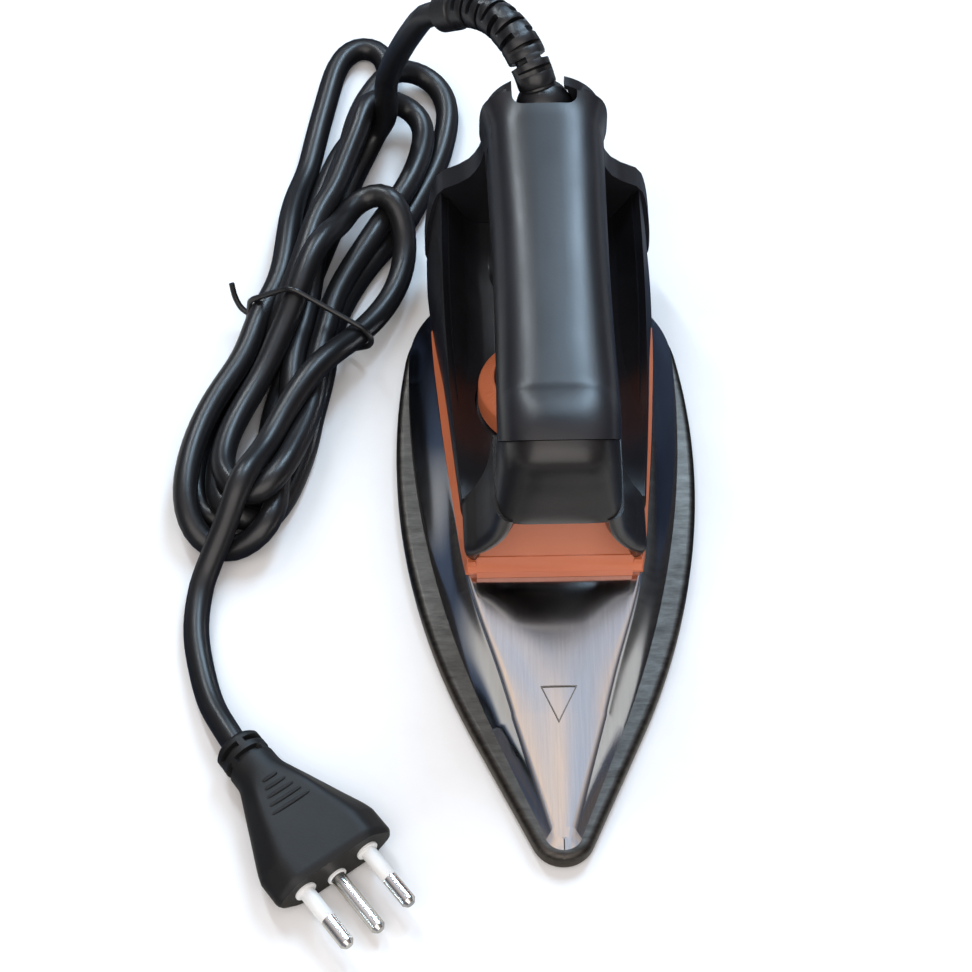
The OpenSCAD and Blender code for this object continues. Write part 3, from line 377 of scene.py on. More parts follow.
GUARD = [(0, 88, 82), (-3, 94.5, 89), (-6.5, 101, 93), (-12, 109, 94), (-19, 117, 90), (-26.5, 123, 83)]
LEAD = [(-26.75, 123.2, 82.8), (-28.9, 124.9, 80.7), (-31.6, 127.4, 77), (-35.5, 132, 66),
        (-39, 138.5, 52), (-42, 144.5, 38), (-44, 149.5, 25)]
HANK = [
    (-49, 149, 9), (-55, 135, 4.5), (-61, 116, 3.5), (-66, 97, 3.5), (-69, 76, 3.5), (-73, 54, 3.5),
    (-77, 35, 3.5), (-79, 20, 3.5), (-82, 8, 3.5), (-88, 2, 3.5), (-95, 6, 3.5), (-99, 17, 3.5),
    (-97, 34, 3.5), (-91, 52, 3.5), (-82, 73, 3.5), (-74, 91, 3.5), (-67, 110, 3.5), (-61, 129, 3.5),
    (-54, 146, 3.5), (-46, 161, 3.5), (-42, 174, 3.5), (-44, 186, 3.5), (-51, 190, 3.5), (-58, 184, 4),
    (-61, 169, 4), (-65, 151, 5), (-68, 132, 6.5), (-72, 113, 8), (-74, 92, 10), (-79, 74, 10),
    (-84, 61, 9.5), (-91, 49, 8), (-96, 37, 6), (-99, 25, 4), (-100, 12, 4), (-96, 0, 4), (-87, -5, 5),
    (-80, -1, 7), (-75, 11, 8.5), (-72, 29, 9.5), (-70, 48, 10), (-70, 69, 10), (-67, 87, 10.5),
    (-64, 105, 11), (-59, 124, 11), (-54, 141, 11), (-49, 159, 11), (-42, 172, 10.5), (-32, 176, 9),
    (-25, 167, 7), (-25, 151, 5), (-29, 137, 4), (-34, 124, 3.5), (-42, 110, 3.5), (-51, 96, 3.5),
    (-60, 76, 3.5), (-63, 54, 3.5), (-67, 37, 4), (-71, 22, 5), (-76, 7, 8), (-84, 3, 10), (-91, 9, 11),
    (-92, 23, 10.5), (-88, 40, 10.5), (-80, 58, 10.5), (-74, 72, 11), (-68, 87, 12), (-63, 104, 13),
    (-58, 121, 14), (-53, 139, 14), (-47, 152, 14), (-40, 160, 12), (-32, 154, 11), (-32, 141, 10.5),
    (-36, 126, 10.5), (-42, 114, 10.5), (-49, 102, 10), (-56, 88, 10), (-63, 69, 10), (-65, 52, 9.5),
    (-68, 36, 9.5), (-71, 21, 11), (-77, 7, 14), (-85, 5, 16), (-90, 14, 17), (-89, 30, 17), (-82, 46, 17),
    (-75, 60, 17), (-69, 79, 16.5), (-63, 96, 16), (-56, 112, 15), (-49, 119, 13.5), (-42, 116, 12),
    (-38, 106, 11), (-39, 92, 11), (-44, 80, 12), (-50, 70, 14), (-57, 61, 16), (-66, 47, 17),
    (-73, 34, 18), (-79, 20, 20), (-84, 8, 21), (-88, -1, 17)]
TAIL = [(-92, -6, 9), (-95, -15, 4.5), (-96, -28, 3.7), (-94, -41, 3.7), (-91, -52, 4.8), (-87.4, -59.6, 6.4)]
PLUG_AT, PLUG_TURN, PLUG_LEN = Vector((-58, -102, 7)), math.atan2(-0.81, 0.58), 45.0
PLUG_DIR = Vector((math.cos(PLUG_TURN), math.sin(PLUG_TURN), 0))
CORD_D, LIE = 7.0, 3.55  # the lead's diameter, and the height of its middle where it lies on the floor
STEP = 3.0  # between points of the route


def relax(p, held0, held1, rounds=400, near=7.1):
    """Pushes runs closer than near apart, mostly one over the other, and keeps the lead stiff and settled.

    The first held0 and last held1 points stay where they are."""
    n, home = len(p), p.copy()
    w = np.ones(n)
    w[:held0] = w[n - held1:] = 0
    for k in range(8):
        w[held0 + k] = w[n - held1 - 1 - k] = (k + 1) / 9
    first, second = np.triu_indices(n, k=7)
    for _ in range(rounds):
        v = p[second] - p[first]
        d = np.linalg.norm(v, axis=1)
        m = d < near
        a, b, v, d = first[m], second[m], v[m], np.maximum(d[m], 1e-3)
        v[:, 2] += np.where(v[:, 2] >= 0, 0.6, -0.6)
        push = v / np.linalg.norm(v, axis=1)[:, None] * ((near - d) * 0.5)[:, None]
        push[:, :2] *= 0.35
        move, count = np.zeros_like(p), np.zeros(n)
        np.add.at(move, a, -push * 0.8)
        np.add.at(move, b, push * 0.8)
        np.add.at(count, a, 1)
        np.add.at(count, b, 1)
        move /= np.sqrt(np.maximum(count, 1))[:, None]
        move[1:-1] = (move[:-2] + 2 * move[1:-1] + move[2:]) / 4
        stiff, even = np.zeros_like(p), np.zeros_like(p)
        stiff[2:-2] = (-p[:-4] + 4 * p[1:-3] - 6 * p[2:-2] + 4 * p[3:-1] - p[4:]) / 16
        even[1:-1, 2] = (p[:-2, 2] + p[2:, 2]) / 2 - p[1:-1, 2]
        pull = (home - p) * [0.02, 0.02, 0.004]
        pull[:, 2] -= 0.03
        p = p + w[:, None] * (move + 0.8 * stiff + 0.15 * even + pull)
        p[:, 2] = np.where(w > 0, np.maximum(p[:, 2], LIE), p[:, 2])
    return p


cord_end = PLUG_AT - PLUG_DIR * (PLUG_LEN - 0.5)
guard_line = spline(GUARD, 0.5)
TAIL.append(tuple(cord_end))
whole = spline(LEAD + HANK + TAIL, STEP)
held0, held1 = len(spline(LEAD, STEP)) - 3, len(spline(TAIL, STEP)) - 3
soft = np.ones(len(whole))
soft[:held0] = soft[-held1:] = 0
for _ in range(12):
    even = whole.copy()
    even[1:-1] = (whole[:-2] + 2 * whole[1:-1] + whole[2:]) / 4
    whole = whole + soft[:, None] * (even - whole)
route = relax(whole, held0, held1)
TIGHT = 6  # radius below which a bend is eased
for _ in range(300):
    pull = route[:-2] - 2 * route[1:-1] + route[2:]
    steps = np.linalg.norm(np.diff(route, axis=0), axis=1)
    sharp = np.clip(TIGHT * np.linalg.norm(pull, axis=1) / (steps[1:] * steps[:-1]) - 1, 0, 1)
    route[1:-1] += 0.25 * sharp[:, None] * pull
INSIDE = 13  # points of the guard's line that the lead runs inside the guard
route = np.vstack([guard_line[-INSIDE:-1:6], route])

curve = bpy.data.curves.new("mains_lead", "CURVE")
curve.dimensions, curve.bevel_depth, curve.bevel_resolution = "3D", CORD_D / 2 * MM, 5
curve.use_fill_caps = True
strand = curve.splines.new("POLY")
strand.points.add(len(route) - 1)
for pt, p in zip(strand.points, route):
    pt.co = (*(p * MM), 1)
strand.use_smooth = True
lead = bpy.data.objects.new("mains_lead", curve)
scene.collection.objects.link(lead)
dress(lead, RUBBER, "lead", ("cord_lead", "cord_hank", "cord_tail"))

# ---------- bend guard: rings joined by staggered bridges ----------


def make_guard():
    """Ribbed sleeve: a collar at each end, and rings with a slot on alternate sides between them."""
    s = np.r_[0, np.cumsum(np.linalg.norm(np.diff(guard_line, axis=0), axis=1))]
    begin, end = 4.8, s[-1]
    count, sides = 11, 32
    root, collar = 4.0, 7.5  # lengths without slots at the two ends
    pitch = (end - begin - root - collar) / count
    rows, fr = [], frames(guard_line)

    def station(at, radii):
        k = min(max(int(np.searchsorted(s, at)), 0), len(s) - 1)
        rows.append(ring_at(guard_line[k], *fr[k][1:], np.broadcast_to(radii, sides)))

    def radius(at):
        f = (at - begin) / (end - begin)
        return 5.3 + 0.3 * min(4 * f, 1) - 0.6 * f

    ang = np.linspace(0, 360, sides, endpoint=False)
    station(begin, 5.0)
    station(begin + 0.3, radius(begin) - 0.4)
    station(begin + 0.9, radius(begin))
    at = begin + root
    station(at - 0.3, radius(at))
    for k in range(count):
        side = 90 * (k % 2)
        gap = np.minimum.reduce([np.abs((ang - side - c + 180) % 360 - 180) for c in (0, 180)])
        deep = np.clip((gap - 24) / 14, 0, 1)
        r = radius(at)
        groove = r - 2.2 * deep
        w = pitch * 0.36
        station(at, r - 0.25 * deep)
        station(at + 0.12, groove)
        station(at + w, groove)
        station(at + w + 0.12, r - 0.25 * deep)
        station(at + w + 0.4, r)
        station(at + pitch - 0.3, radius(at + pitch))
        at += pitch
    station(at + 0.2, radius(at) + 0.1)
    station(at + 0.7, radius(at) + 0.55)
    station(end - 1.0, radius(end) + 0.65)
    station(end - 0.3, radius(end) + 0.2)
    station(end, CORD_D / 2 + 0.1)
    return solid("bend_sleeve", rows, 40)


guard = dress(make_guard(), RUBBER, "lead", ("bend_guard",))

# ---------- plug: s runs along it from its face at 0, back to the lead at -45 ----------

PLUG_M = Matrix.Translation(PLUG_AT) @ Matrix.Rotation(PLUG_TURN, 4, "Z")
BODY_W = [(-45, 5.4), (-44, 6.4), (-34, 6.7), (-32.5, 7.1), (-10.5, 16.7), (-8, 17.5), (-1, 17.6), (0, 16.9)]
BODY_H = [(-45, 5.4), (-44, 6.4), (-35, 6.5), (-22, 6.7), (-2, 6.8), (0, 6)]
PIN_AT = 9.5  # from the plug's middle to each line pin


def plug_point(p):
    return tuple(PLUG_M @ Vector(p))


def pin_rows(line, w, z):
    """Rings round a pin's axis at w, z, through the (s, radius) points of line."""
    return [[plug_point((s, w + q * math.cos(a), z + q * math.sin(a))) for a in turns(40)] for s, q in line]


def make_plug():
    """Round at the lead and eight-sided at the face, with two rows of slots in its neck."""
    rows, sides = [], 72
    stations = [-45, -44.8, -44.4, -44] + list(np.arange(-43.6, -1.9, 0.4)) + [-1.4, -0.8, -0.3, 0]
    for s in stations:
        w, h = float(np.interp(s, *zip(*BODY_W))), smooth(BODY_H, s)
        k = min(max((s + 35) / 12, 0), 1)
        flat, rim = w * 0.66, 0.24 * h
        corners = np.array([(w, rim), (flat, h), (-flat, h), (-w, rim),
                            (-w, -rim), (-flat, -h), (flat, -h), (w, -rim)])
        edge = np.vstack([corners, corners[:1]])
        run = np.r_[0, np.cumsum(np.linalg.norm(np.diff(edge, axis=0), axis=1))]
        at = np.linspace(0, run[-1], sides, endpoint=False)
        faced = np.stack([np.interp(at, run, edge[:, q]) for q in (0, 1)], 1)
        for _ in range(2):
            faced = (np.roll(faced, 1, 0) + 2 * faced + np.roll(faced, -1, 0)) / 4
        turn = np.arctan2(faced[:, 1] / h, faced[:, 0] / w)
        round_ = np.stack([w * np.cos(turn), h * np.sin(turn)], 1)
        shape = round_ + (faced - round_) * (3 * k * k - 2 * k**3)
        near = min(abs(s - c) for c in (-42, -38.6))
        side = 0 if abs(s + 42) < 2 else math.pi / 4
        if near < 0.75:
            shape = shape * np.where(np.abs(np.sin(2 * (turn + side))) > 0.34, 0.78, 1.0)[:, None]
        rows.append([plug_point((s, -x, z)) for x, z in shape])
    return solid("plug_moulding", rows, 38)


plug = dress(make_plug(), PLUG, "lead", ("plug_body",))
for k in range(5):
    s, half = -28.8 + 2.35 * k, 2.3 + 0.95 * k
    ring = []
    for x in np.linspace(-half, half, 15):
        edge = math.sqrt(max(1 - (x / half) ** 2, 0)) ** 0.5
        w = 0.5 * edge + 0.02
        z = smooth(BODY_H, s) - 0.05
        ring.append([plug_point((s + w * math.cos(a), x, z + 0.5 * edge * max(math.sin(a), -0.4)))
                     for a in turns(10)])
    dress(solid("grip_bar_%d" % (k + 1), ring, 60), PLUG, "lead")
for k, (w, z, r) in enumerate(((-PIN_AT, 0, 3.0), (PIN_AT, 0, 3.0), (0, -3, 2.7))):
    v, f = grid(pin_rows([(0.75, 2.05), (0.75, r - 0.3), (0.5, r), (-0.4, r)], w, z), loop=True)
    dress(add("pin_collar_%d" % (k + 1), v, f, 50), WHITE, "lead")

# ---------- tie round the hank's waist ----------

TIE_MID, TIE_SIDE = np.array([-68.0, 72.5, 0]), np.array([0.93, -0.37, 0])
TIE_FWD = np.array([0.37, 0.93, 0])
TIE_R = 0.85


def tie_line(gap):
    """The tight loop round every strand that crosses the tie's plane: their convex hull."""
    rel = route - TIE_MID
    near = route[(np.abs(rel @ TIE_FWD) < 1.8) & (np.abs(rel @ TIE_SIDE) < 24)]
    cloud = [((p - TIE_MID) @ TIE_SIDE + gap * math.cos(t), max(p[2] + gap * math.sin(t), 1.0))
             for p in near for t in turns(24)]
    pts, hull = sorted(set(cloud)), []
    for sweep in (pts, pts[::-1]):
        part = []
        for q in sweep:
            while len(part) > 1 and ((part[-1][0] - part[-2][0]) * (q[1] - part[-2][1])
                                     - (part[-1][1] - part[-2][1]) * (q[0] - part[-2][0])) <= 0:
                part.pop()
            part.append(q)
        hull += part[:-1]
    hull = np.array(hull + hull[:1])
    run = np.r_[0, np.cumsum(np.linalg.norm(np.diff(hull, axis=0), axis=1))]
    at = np.linspace(0, run[-1], 90, endpoint=False)
    return [TIE_MID + TIE_SIDE * np.interp(t, run, hull[:, 0]) + [0, 0, np.interp(t, run, hull[:, 1])]
            for t in at]


loop = np.array(tie_line(CORD_D / 2 + 0.9))
rings = []
for k, p in enumerate(loop):
    d = loop[(k + 1) % len(loop)] - loop[k - 1]
    rings.append(ring_at(p, np.cross(d / np.linalg.norm(d), TIE_FWD), TIE_FWD, np.full(10, TIE_R)))
v, f = grid(rings + [rings[0]], loop=True)
tie_top = loop[np.argmin((loop - TIE_MID) @ TIE_SIDE)]
TIE_END = [tie_top + q for q in ((1, -0.4, 2), (-1.8, 1, 3.5), (-3.6, 3, 6.5), (-4.4, 5, 10))]
tie = dress(add("hank_tie_loop", v, f, 60, merge=0.0005), TIE_MAT, "lead", ("hank_tie",))
tie_end = dress(tube("hank_tie_end", spline(TIE_END, 0.8), TIE_R, 12), TIE_MAT, "lead")

for k, w in enumerate((-PIN_AT, PIN_AT)):
    line = [(0.02, 1.45), (0.02, 2.1), (9.9, 2.1), (10.0, 2.0), (10.0, 1.45)]
    v, f = grid(pin_rows(line + line[:1], w, 0), loop=True)
    dress(add("pin_sleeve_%d" % (k + 1), v, f, 50, merge=0.0005), WHITE, "lead",
                         ("plug_sleeves",) if k == 0 else ())

# ---------- soleplate ----------


def make_sole():
    """The soleplate's outline at each height, drawn in where its edges are rounded."""
    profile = [(0, 1.7), (0.25, 0.95), (0.8, 0.3), (1.6, 0), (4.2, 0), (4.9, 0.15), (5.5, 0.6), (5.9, 1.3),
               (6.0, 2.2)]
    rings = []
    for z, inset in profile:
        half = sole_half(inset)
        rings.append([(x, y, z) for x, y in half] + [(-x, y, z) for x, y in reversed(half)])
    return solid("sole_casting", rings, 50)


dress(make_sole(), SOLE, "iron", ("soleplate",))

# ---------- polished cover ----------


def cover_path(b, t):
    """The cover's section up from the base point b, over the top and down its other side, for a wall t in."""
    bx, by = b
    ty = by + smooth([(NOSE_Y, 3.2), (-80, 1.5), (-60, 0), (60, 0), (86, -4)], by)
    rise = cover_top(ty) - SOLE_T
    tx = min(smooth(EDGE_X, ty) - t, 0.8 * bx)
    tz = SOLE_T + max(rise - 1.1 * t, 0.55 * rise)
    hollow = min(rise / 16, bx / 12, 1)
    crown = 0 if ty > -26 else 1.3 * math.sin(math.radians(180 * (ty + 96) / 70)) * hollow

    def side(u):
        bow = hollow * math.sin(math.pi * u)
        return np.array([bx + (tx - bx) * u - 0.9 * bow, by + (ty - by) * u,
                         SOLE_T + (tz - SOLE_T) * u - 0.5 * bow])

    def top(u):
        return np.array([tx * u, ty, tz + (1 - u * u) * crown])

    length = np.linalg.norm(side(1) - side(0))
    w = min(1.3 / max(length, 2), 0.35)  # shares of the side and of the top that the rolled edge takes
    e = min(1.1 / max(tx, 0.5), 0.45)
    half = [side(u * (1 - w)) for u in np.linspace(0, 1, 15)]
    a, c, d = side(1 - w), top(1), top(1 - e)
    half += [(1 - u)**2 * a + 2 * u * (1 - u) * c + u * u * d for u in np.linspace(0, 1, 9)[1:-1]]
    half += [top((1 - e) * u) for u in np.linspace(1, 0, 15)[:-1]]
    flip = [tuple(p) for p in reversed(half)]
    return [(-p[0], p[1], p[2]) for p in half] + [tuple(top(0))] + flip


def cover_rows(t, n=34):
    """Sections of the cover for a wall t in, the same ones whatever t is."""
    keep = [k for k, (x, _) in enumerate(cover_half(0, n)) if x > 0.15]
    base = cover_half(t, n)
    return [cover_path(base[k], t) for k in keep]


dress(shell("polished_cover", cover_rows(0), cover_rows(0.8), 50), CHROME, "iron", ("cover_shell",))


def etched(name, corners, width, above=0.03):
    """Closed outline of thin dark strips, laid just above the cover."""
    verts, faces = [], []
    mid = np.mean(corners, axis=0)
    for k in range(len(corners)):
        a, b = np.array(corners[k], float), np.array(corners[(k + 1) % len(corners)], float)
        rows = []
        for u in np.linspace(0, 1, 12):
            row = []
            for g in (0, 0.25, 0.75, 1):
                p = a + (b - a) * u
                q = p + (mid - p) * (g * width / np.linalg.norm(mid - a))
                crown = 1.3 * math.sin(math.radians(180 * (q[1] + 96) / 70))
                z = smooth(EDGE_Z, q[1]) + crown * (1 - (q[0] / smooth(EDGE_X, q[1]))**2)
                row.append((q[0], q[1], z + above))
            rows.append(row)
        v, f = grid(rows)
        faces += [tuple(len(verts) + i for i in q) for q in f]
        verts += v
    return add(name, verts, faces, 60)


ETCH = brushed("etched_mark", (0.20, 0.19, 0.17), (0.30, 0.28, 0.26), 0.5, (900, 900, 900), 0.00001)
dress(etched("etched_triangle", [(-4.8, -55.3), (4.8, -55.3), (-0.3, -64.9)], 0.55), ETCH, "iron")

# ---------- body, between the ridges and down to the trim ----------


def body_row(y, t):
    """The body's section at y: up one side, over its ridge, across the deck and down; t is the wall in."""
    lean = 0.09 * min(max((y - 60) / 30, 0), 1)
    lx, lz = body_low(y)
    lx -= t
    rx, rz, dz = smooth(RIDGE_X, y) - 0.9 * t, smooth(RIDGE_Z, y) - t, smooth(DECK_Z, y) - t
    half = [(lx + (rx - lx) * u + 0.5 * math.sin(math.pi * u), lz + (rz - lz) * u)
            for u in np.linspace(0, 0.93, 12)]
    for u in np.linspace(1, 0.6, 17):
        half.append(((rx - 0.3) * u, dz + (rz - dz) * max((u - 0.6) / 0.4, 0)**1.7))
    half += [((rx - 0.3) * u, dz) for u in np.linspace(0.5, 0.1, 5)]
    row = [(-x, y - lean * (z - 30), z) for x, z in half] + [(0, y - lean * (dz - 30), dz)]
    return row + [(x, y - lean * (z - 30), z) for x, z in reversed(half)]


def cut_away(ob, cutter):
    """Takes the cutter's shape out of ob and removes the cutter."""
    mod = ob.modifiers.new("cut", "BOOLEAN")
    mod.operation, mod.solver, mod.object = "DIFFERENCE", "EXACT", cutter
    bpy.context.view_layer.update()
    me = bpy.data.meshes.new_from_object(ob.evaluated_get(bpy.context.evaluated_depsgraph_get()))
    ob.modifiers.clear()
    old = ob.data
    ob.data = me
    bpy.data.meshes.remove(old)
    bpy.data.objects.remove(cutter)
    finish_mesh(ob.data, 32)


DIAL_AT, DIAL_TILT, DIAL_R, DIAL_H = Vector((0, 28, 37)), math.radians(9), 19.0, 6.4
DIAL_M = Matrix.Translation(DIAL_AT) @ Matrix.Rotation(-DIAL_TILT, 4, "X")


def dial_ring(r, z, sides, ribs=(0,)):
    """Ring round the dial's axis, its points raised in turn by ribs."""
    out = []
    for k in range(sides):
        a = 2 * math.pi * k / sides
        out.append(tuple(DIAL_M @ Vector((r * math.cos(a), r * math.sin(a), z + ribs[k % len(ribs)]))))
    return out


BODY_FRONT, BODY_BACK = -8.4, HEEL_Y + 0.9 - 0.09 * 30 - 6.6 * 1.004 - 0.1  # just ahead of the heel cover
POCKET_R = DIAL_R + 0.8
body_ys = np.linspace(BODY_FRONT, BODY_BACK, 70)
body = shell("body_moulding", [body_row(y, 0) for y in body_ys], [body_row(y, WALL) for y in body_ys], 32)
cut_away(body, solid("dial_pocket_cutter", [dial_ring(POCKET_R, z, 96) for z in (-DIAL_H - 0.4, 12)]))
dress(body, BLACK, "iron", ("body_shell",))

# ---------- handle ----------

TURN_Y, TURN_Z = -8.0, 60.0  # the handle's nose turns down about this line
SEAM = 35.0  # degrees round the nose at which the front cap takes over
SPLIT_R = 14.0  # from the line of the turn up to the joint of the two shells
HANDLE_HALF, HANDLE_BACK, ROUNDNESS = 15.6, 84.4, 0.62
FRONT_R = [(0, 25.8), (35, 30.1), (46, 30.6), (60, 27.6), (75, 25.6), (92, 25)]


def power(v, p):
    """Power that keeps the sign, for superellipses."""
    return math.copysign(abs(v)**p, v)


def place(x, r, y, a):
    """Point of the handle at a distance r from the line of the turn, a degrees round it."""
    return (x, y - r * math.sin(math.radians(a)), TURN_Z + r * math.cos(math.radians(a)))


def handle_row(y, a, up, t, n=44, p=ROUNDNESS):
    """Section of the upper (up = 1) or lower (up = -1) shell, for a wall t in."""
    w = HANDLE_HALF
    if a <= 0:
        w += -0.4 * math.sin(math.radians(180 * (y + 8) / 68)) if y < 60 else 0.02 * (y - 60)
    flare = 1.3 * max((y - 80) / 8.5, 0)**2
    w += flare - t
    r = smooth(FRONT_R, a) if a > 0 else smooth(TOP_Z, y) - TURN_Z + flare
    far = r - t - SPLIT_R if up > 0 else SPLIT_R - 1 - t
    row = []
    for i in np.radians(np.linspace(180, 0, n + 1)):
        c, s = math.cos(i), abs(math.sin(i))
        row.append(place(w * power(c, p), SPLIT_R + up * far * s**p, y, a))
    return row


stations = [(y, 0) for y in np.r_[np.linspace(88.5, 80, 9), np.linspace(79, TURN_Y, 44)]]
stations += [(TURN_Y, a) for a in np.linspace(2.5, SEAM, 14)]


def handle_shell(name, up):
    outer, inner = [[handle_row(y, a, up, t) for y, a in stations] for t in (0, WALL)]
    return shell(name, outer, inner, 40)


# slot for the ball, open at the back
SLOT_HALF, SLOT_CORNER, SLOT_LOW, SLOT_HIGH, SLOT_END = 8.8, 3, 79.5, 96, 96
edge = [(SLOT_HALF - SLOT_CORNER * (1 - math.sin(t)), HANDLE_BACK + SLOT_CORNER * (1 - math.cos(t)))
        for t in np.linspace(0, math.pi / 2, 9)] + [(SLOT_HALF, SLOT_END)]
upper = handle_shell("grip_upper", 1)
cut_away(upper, solid("slot_cutter", [[(x, y, z) for x, y in edge] + [(-x, y, z) for x, y in reversed(edge)]
                                      for z in (SLOT_LOW, SLOT_HIGH)]))
dress(upper, BLACK, "iron", ("handle_upper",))

# ball in the slot, turned towards the guard
BALL, BALL_R = Vector((0, 88.8, 81.1)), 7.6
axis = (Vector(GUARD[1]) - Vector(GUARD[0])).normalized()
ball_frame = axis.to_track_quat("Z", "Y").to_matrix()
profile = [(BALL_R * math.sin(t), -BALL_R * math.cos(t)) for t in np.linspace(0.02, 2.45, 40)]
ball_rings = [[tuple(BALL + ball_frame @ Vector((r * math.cos(t), r * math.sin(t), z))) for t in turns(56)]
              for r, z in profile + [(4.6, 7.6), (4.5, 9.0)]]
dress(solid("lead_ball", ball_rings, 50), RUBBER, "lead", ("cord_ball",))
dress(handle_shell("grip_lower", -1), BLACK, "iron", ("handle_lower",))


def column_ring(z, spread):
    """Outline of the column under the handle's back; below 0, z means down on the deck."""
    ring = []
    for a in turns(72):
        x = (13 + spread) * power(math.cos(a), 0.7)
        y = 76.6 + (11.2 + 0.4 * spread) * power(math.sin(a), 0.7)
        ring.append((x, y, smooth(DECK_Z, y) + 0.1 + 0.02 * abs(x) if z < 0 else z))
    return ring


COLUMN = [(-1, 2.0), (29.5, 1.5), (32, 1.15), (36, 0.75), (41, 0.3), (46, 0.0), (51, 0.15), (56, 0.4),
          (60, 0.8), (63, 1.2)]
pillar = solid("rear_pillar", [column_ring(z, g) for z, g in COLUMN], 40)
dress(pillar, BLACK, "iron", ("rear_column",))

# ---------- front cap: a hood over the handle's nose, and two legs ----------


HOOD_END = 92  # degrees round the nose


def hood_row(a, t, n=44):
    """Section of the hood, a degrees round the nose: squarer and wider towards its end."""
    k = (a - SEAM) / (HOOD_END - SEAM)
    p = ROUNDNESS - 0.34 * k**1.3
    w = HANDLE_HALF + 0.6 * k - t
    far, low = smooth(FRONT_R, a) - t, 1 + k
    return [place(w * power(math.cos(i), p), low + (far - low) * abs(math.sin(i))**p, TURN_Y, a)
            for i in np.radians(np.linspace(180, 0, n + 1))]


# the legs from top (0) to foot (1): front and back edges, side, and radius of the front corner
LEG = {"fy": [(0, -32.9), (0.35, -31), (0.7, -27.6), (1, -23.4)],
       "fz": [(0, TURN_Z + 0.1), (0.35, 50), (0.7, 38.5), (1, 28.75)],
       "by": [(0, -7.2), (0.4, -7.4), (1, -8.6)],
       "bz": [(0, TURN_Z + 2), (0.4, 47), (0.72, 36.2), (1, 26)],
       "x": [(0, 16.2), (0.35, 17.5), (0.6, 20.5), (0.78, 23.7), (1, 23.4)],
       "c": [(0, 4.2), (0.35, 3.6), (1, 2.6)]}


def leg_row(v, s, t):
    """Section of the leg on side s at v, for a wall t in."""
    c = smooth(LEG["c"], v) - 0.4 * t
    fy, by = smooth(LEG["fy"], v) + t, smooth(LEG["by"], v)
    fz, bz = smooth(LEG["fz"], v), smooth(LEG["bz"], v)
    xs = smooth(LEG["x"], v) - t
    row = []
    for u in np.r_[np.linspace(0, 1, 12)**2 * 0.3, np.linspace(0.38, 1, 9)]:
        y = fy + (by - fy) * u
        d = min((y - fy) / c, 1)
        row.append((s * (xs - c * (1 - math.sqrt(1 - (1 - d)**2)) + 0.3 * u), y, fz + (bz - fz) * u))
    return row


outer, inner = [[hood_row(a, t) for a in np.linspace(SEAM + 0.4, HOOD_END, 30)] for t in (0, WALL)]
dress(shell("nose_hood", outer, inner, 40), CAP, "iron", ("front_cap",))
for s, side in ((1, "right"), (-1, "left")):
    outer, inner = [[leg_row(v, s, t) for v in np.linspace(0, 1, 30)] for t in (0, WALL)]
    dress(shell("nose_leg_" + side, outer, inner, 40), CAP, "iron")

# ---------- dial ----------

SMOOTH, RIBBED = (0,), (0.0, 0.0, 0.14, 0.14)
DIAL = [(2.55, -5.4, SMOOTH), (17.2, -5.4, SMOOTH), (17.2, -DIAL_H, SMOOTH), (18.6, -DIAL_H, SMOOTH),
        (DIAL_R, -DIAL_H + 0.4, SMOOTH), (DIAL_R, -0.5, SMOOTH), (18.8, 0.05, SMOOTH), (18.3, 0.5, SMOOTH),
        (17.9, 0.75, RIBBED), (15.9, 2.35, RIBBED), (15.6, 2.75, SMOOTH), (15.25, 2.95, SMOOTH),
        (14.75, 2.9, SMOOTH), (14.5, 2.5, SMOOTH), (14.2, -0.95, SMOOTH), (2.55, -0.95, SMOOTH)]
v, f = grid([dial_ring(r, z, 384, ribs) for r, z, ribs in DIAL + DIAL[:1]], loop=True)
dress(add("dial_ring", v, f, 30, merge=0.0005), ORANGE, "dial_knob", ("dial",))

# ---------- parts copied from the CAD with softened edges ----------


def from_cad(node, name, width, mat, body):
    """Copy of a CAD node with its flat faces joined and its edges bevelled by width mm."""
    ob = bpy.data.objects.new(name, bpy.data.objects[node].data.copy())
    scene.collection.objects.link(ob)
    bm = bmesh.new()
    bm.from_mesh(ob.data)
    bmesh.ops.remove_doubles(bm, verts=bm.verts, dist=0.005 * MM)
    bmesh.ops.dissolve_limit(bm, angle_limit=math.radians(0.6), verts=bm.verts, edges=bm.edges)
    bm.to_mesh(ob.data)
    bm.free()
    mod = ob.modifiers.new("edges", "BEVEL")
    mod.width, mod.segments, mod.limit_method = width * MM, 2, "ANGLE"
    mod.angle_limit, mod.use_clamp_overlap = math.radians(30), True
    finish_mesh(ob.data, 38)
    return dress(ob, mat, body, (node,))


from_cad("trim_frame", "orange_trim", 0.35, ORANGE, "iron")
from_cad("heel_cover", "heel_moulding", 0.45, BLACK, "iron")
from_cad("dial_cap", "dial_hub", 0.25, HUB, "dial_knob")

# ---------- finishes of the CAD nodes that stay ----------

FINISH = {SHEATH: ("heating_element",),
          STEEL: ("sole_cover", "body_bolts", "handle_screws", "heel_screw", "dial_spindle", "earth_tag"),
          BRASS: ("thermostat_blades", "terminal_screws"),
          NICKEL: ("element_terminals", "plug_pins", "plug_earth_pin"),
          CERAMIC: ("thermostat_base", "terminal_block", "ball_seat"),
          WHITE: ("thermal_fuse",),
          BROWN: ("live_wire",),
          BLUE: ("neutral_wire",),
          GREEN: ("earth_wire",)}
for mat, nodes in FINISH.items():
    for node in nodes:
        paint(bpy.data.objects[node], mat)

# ---------- floor and light ----------

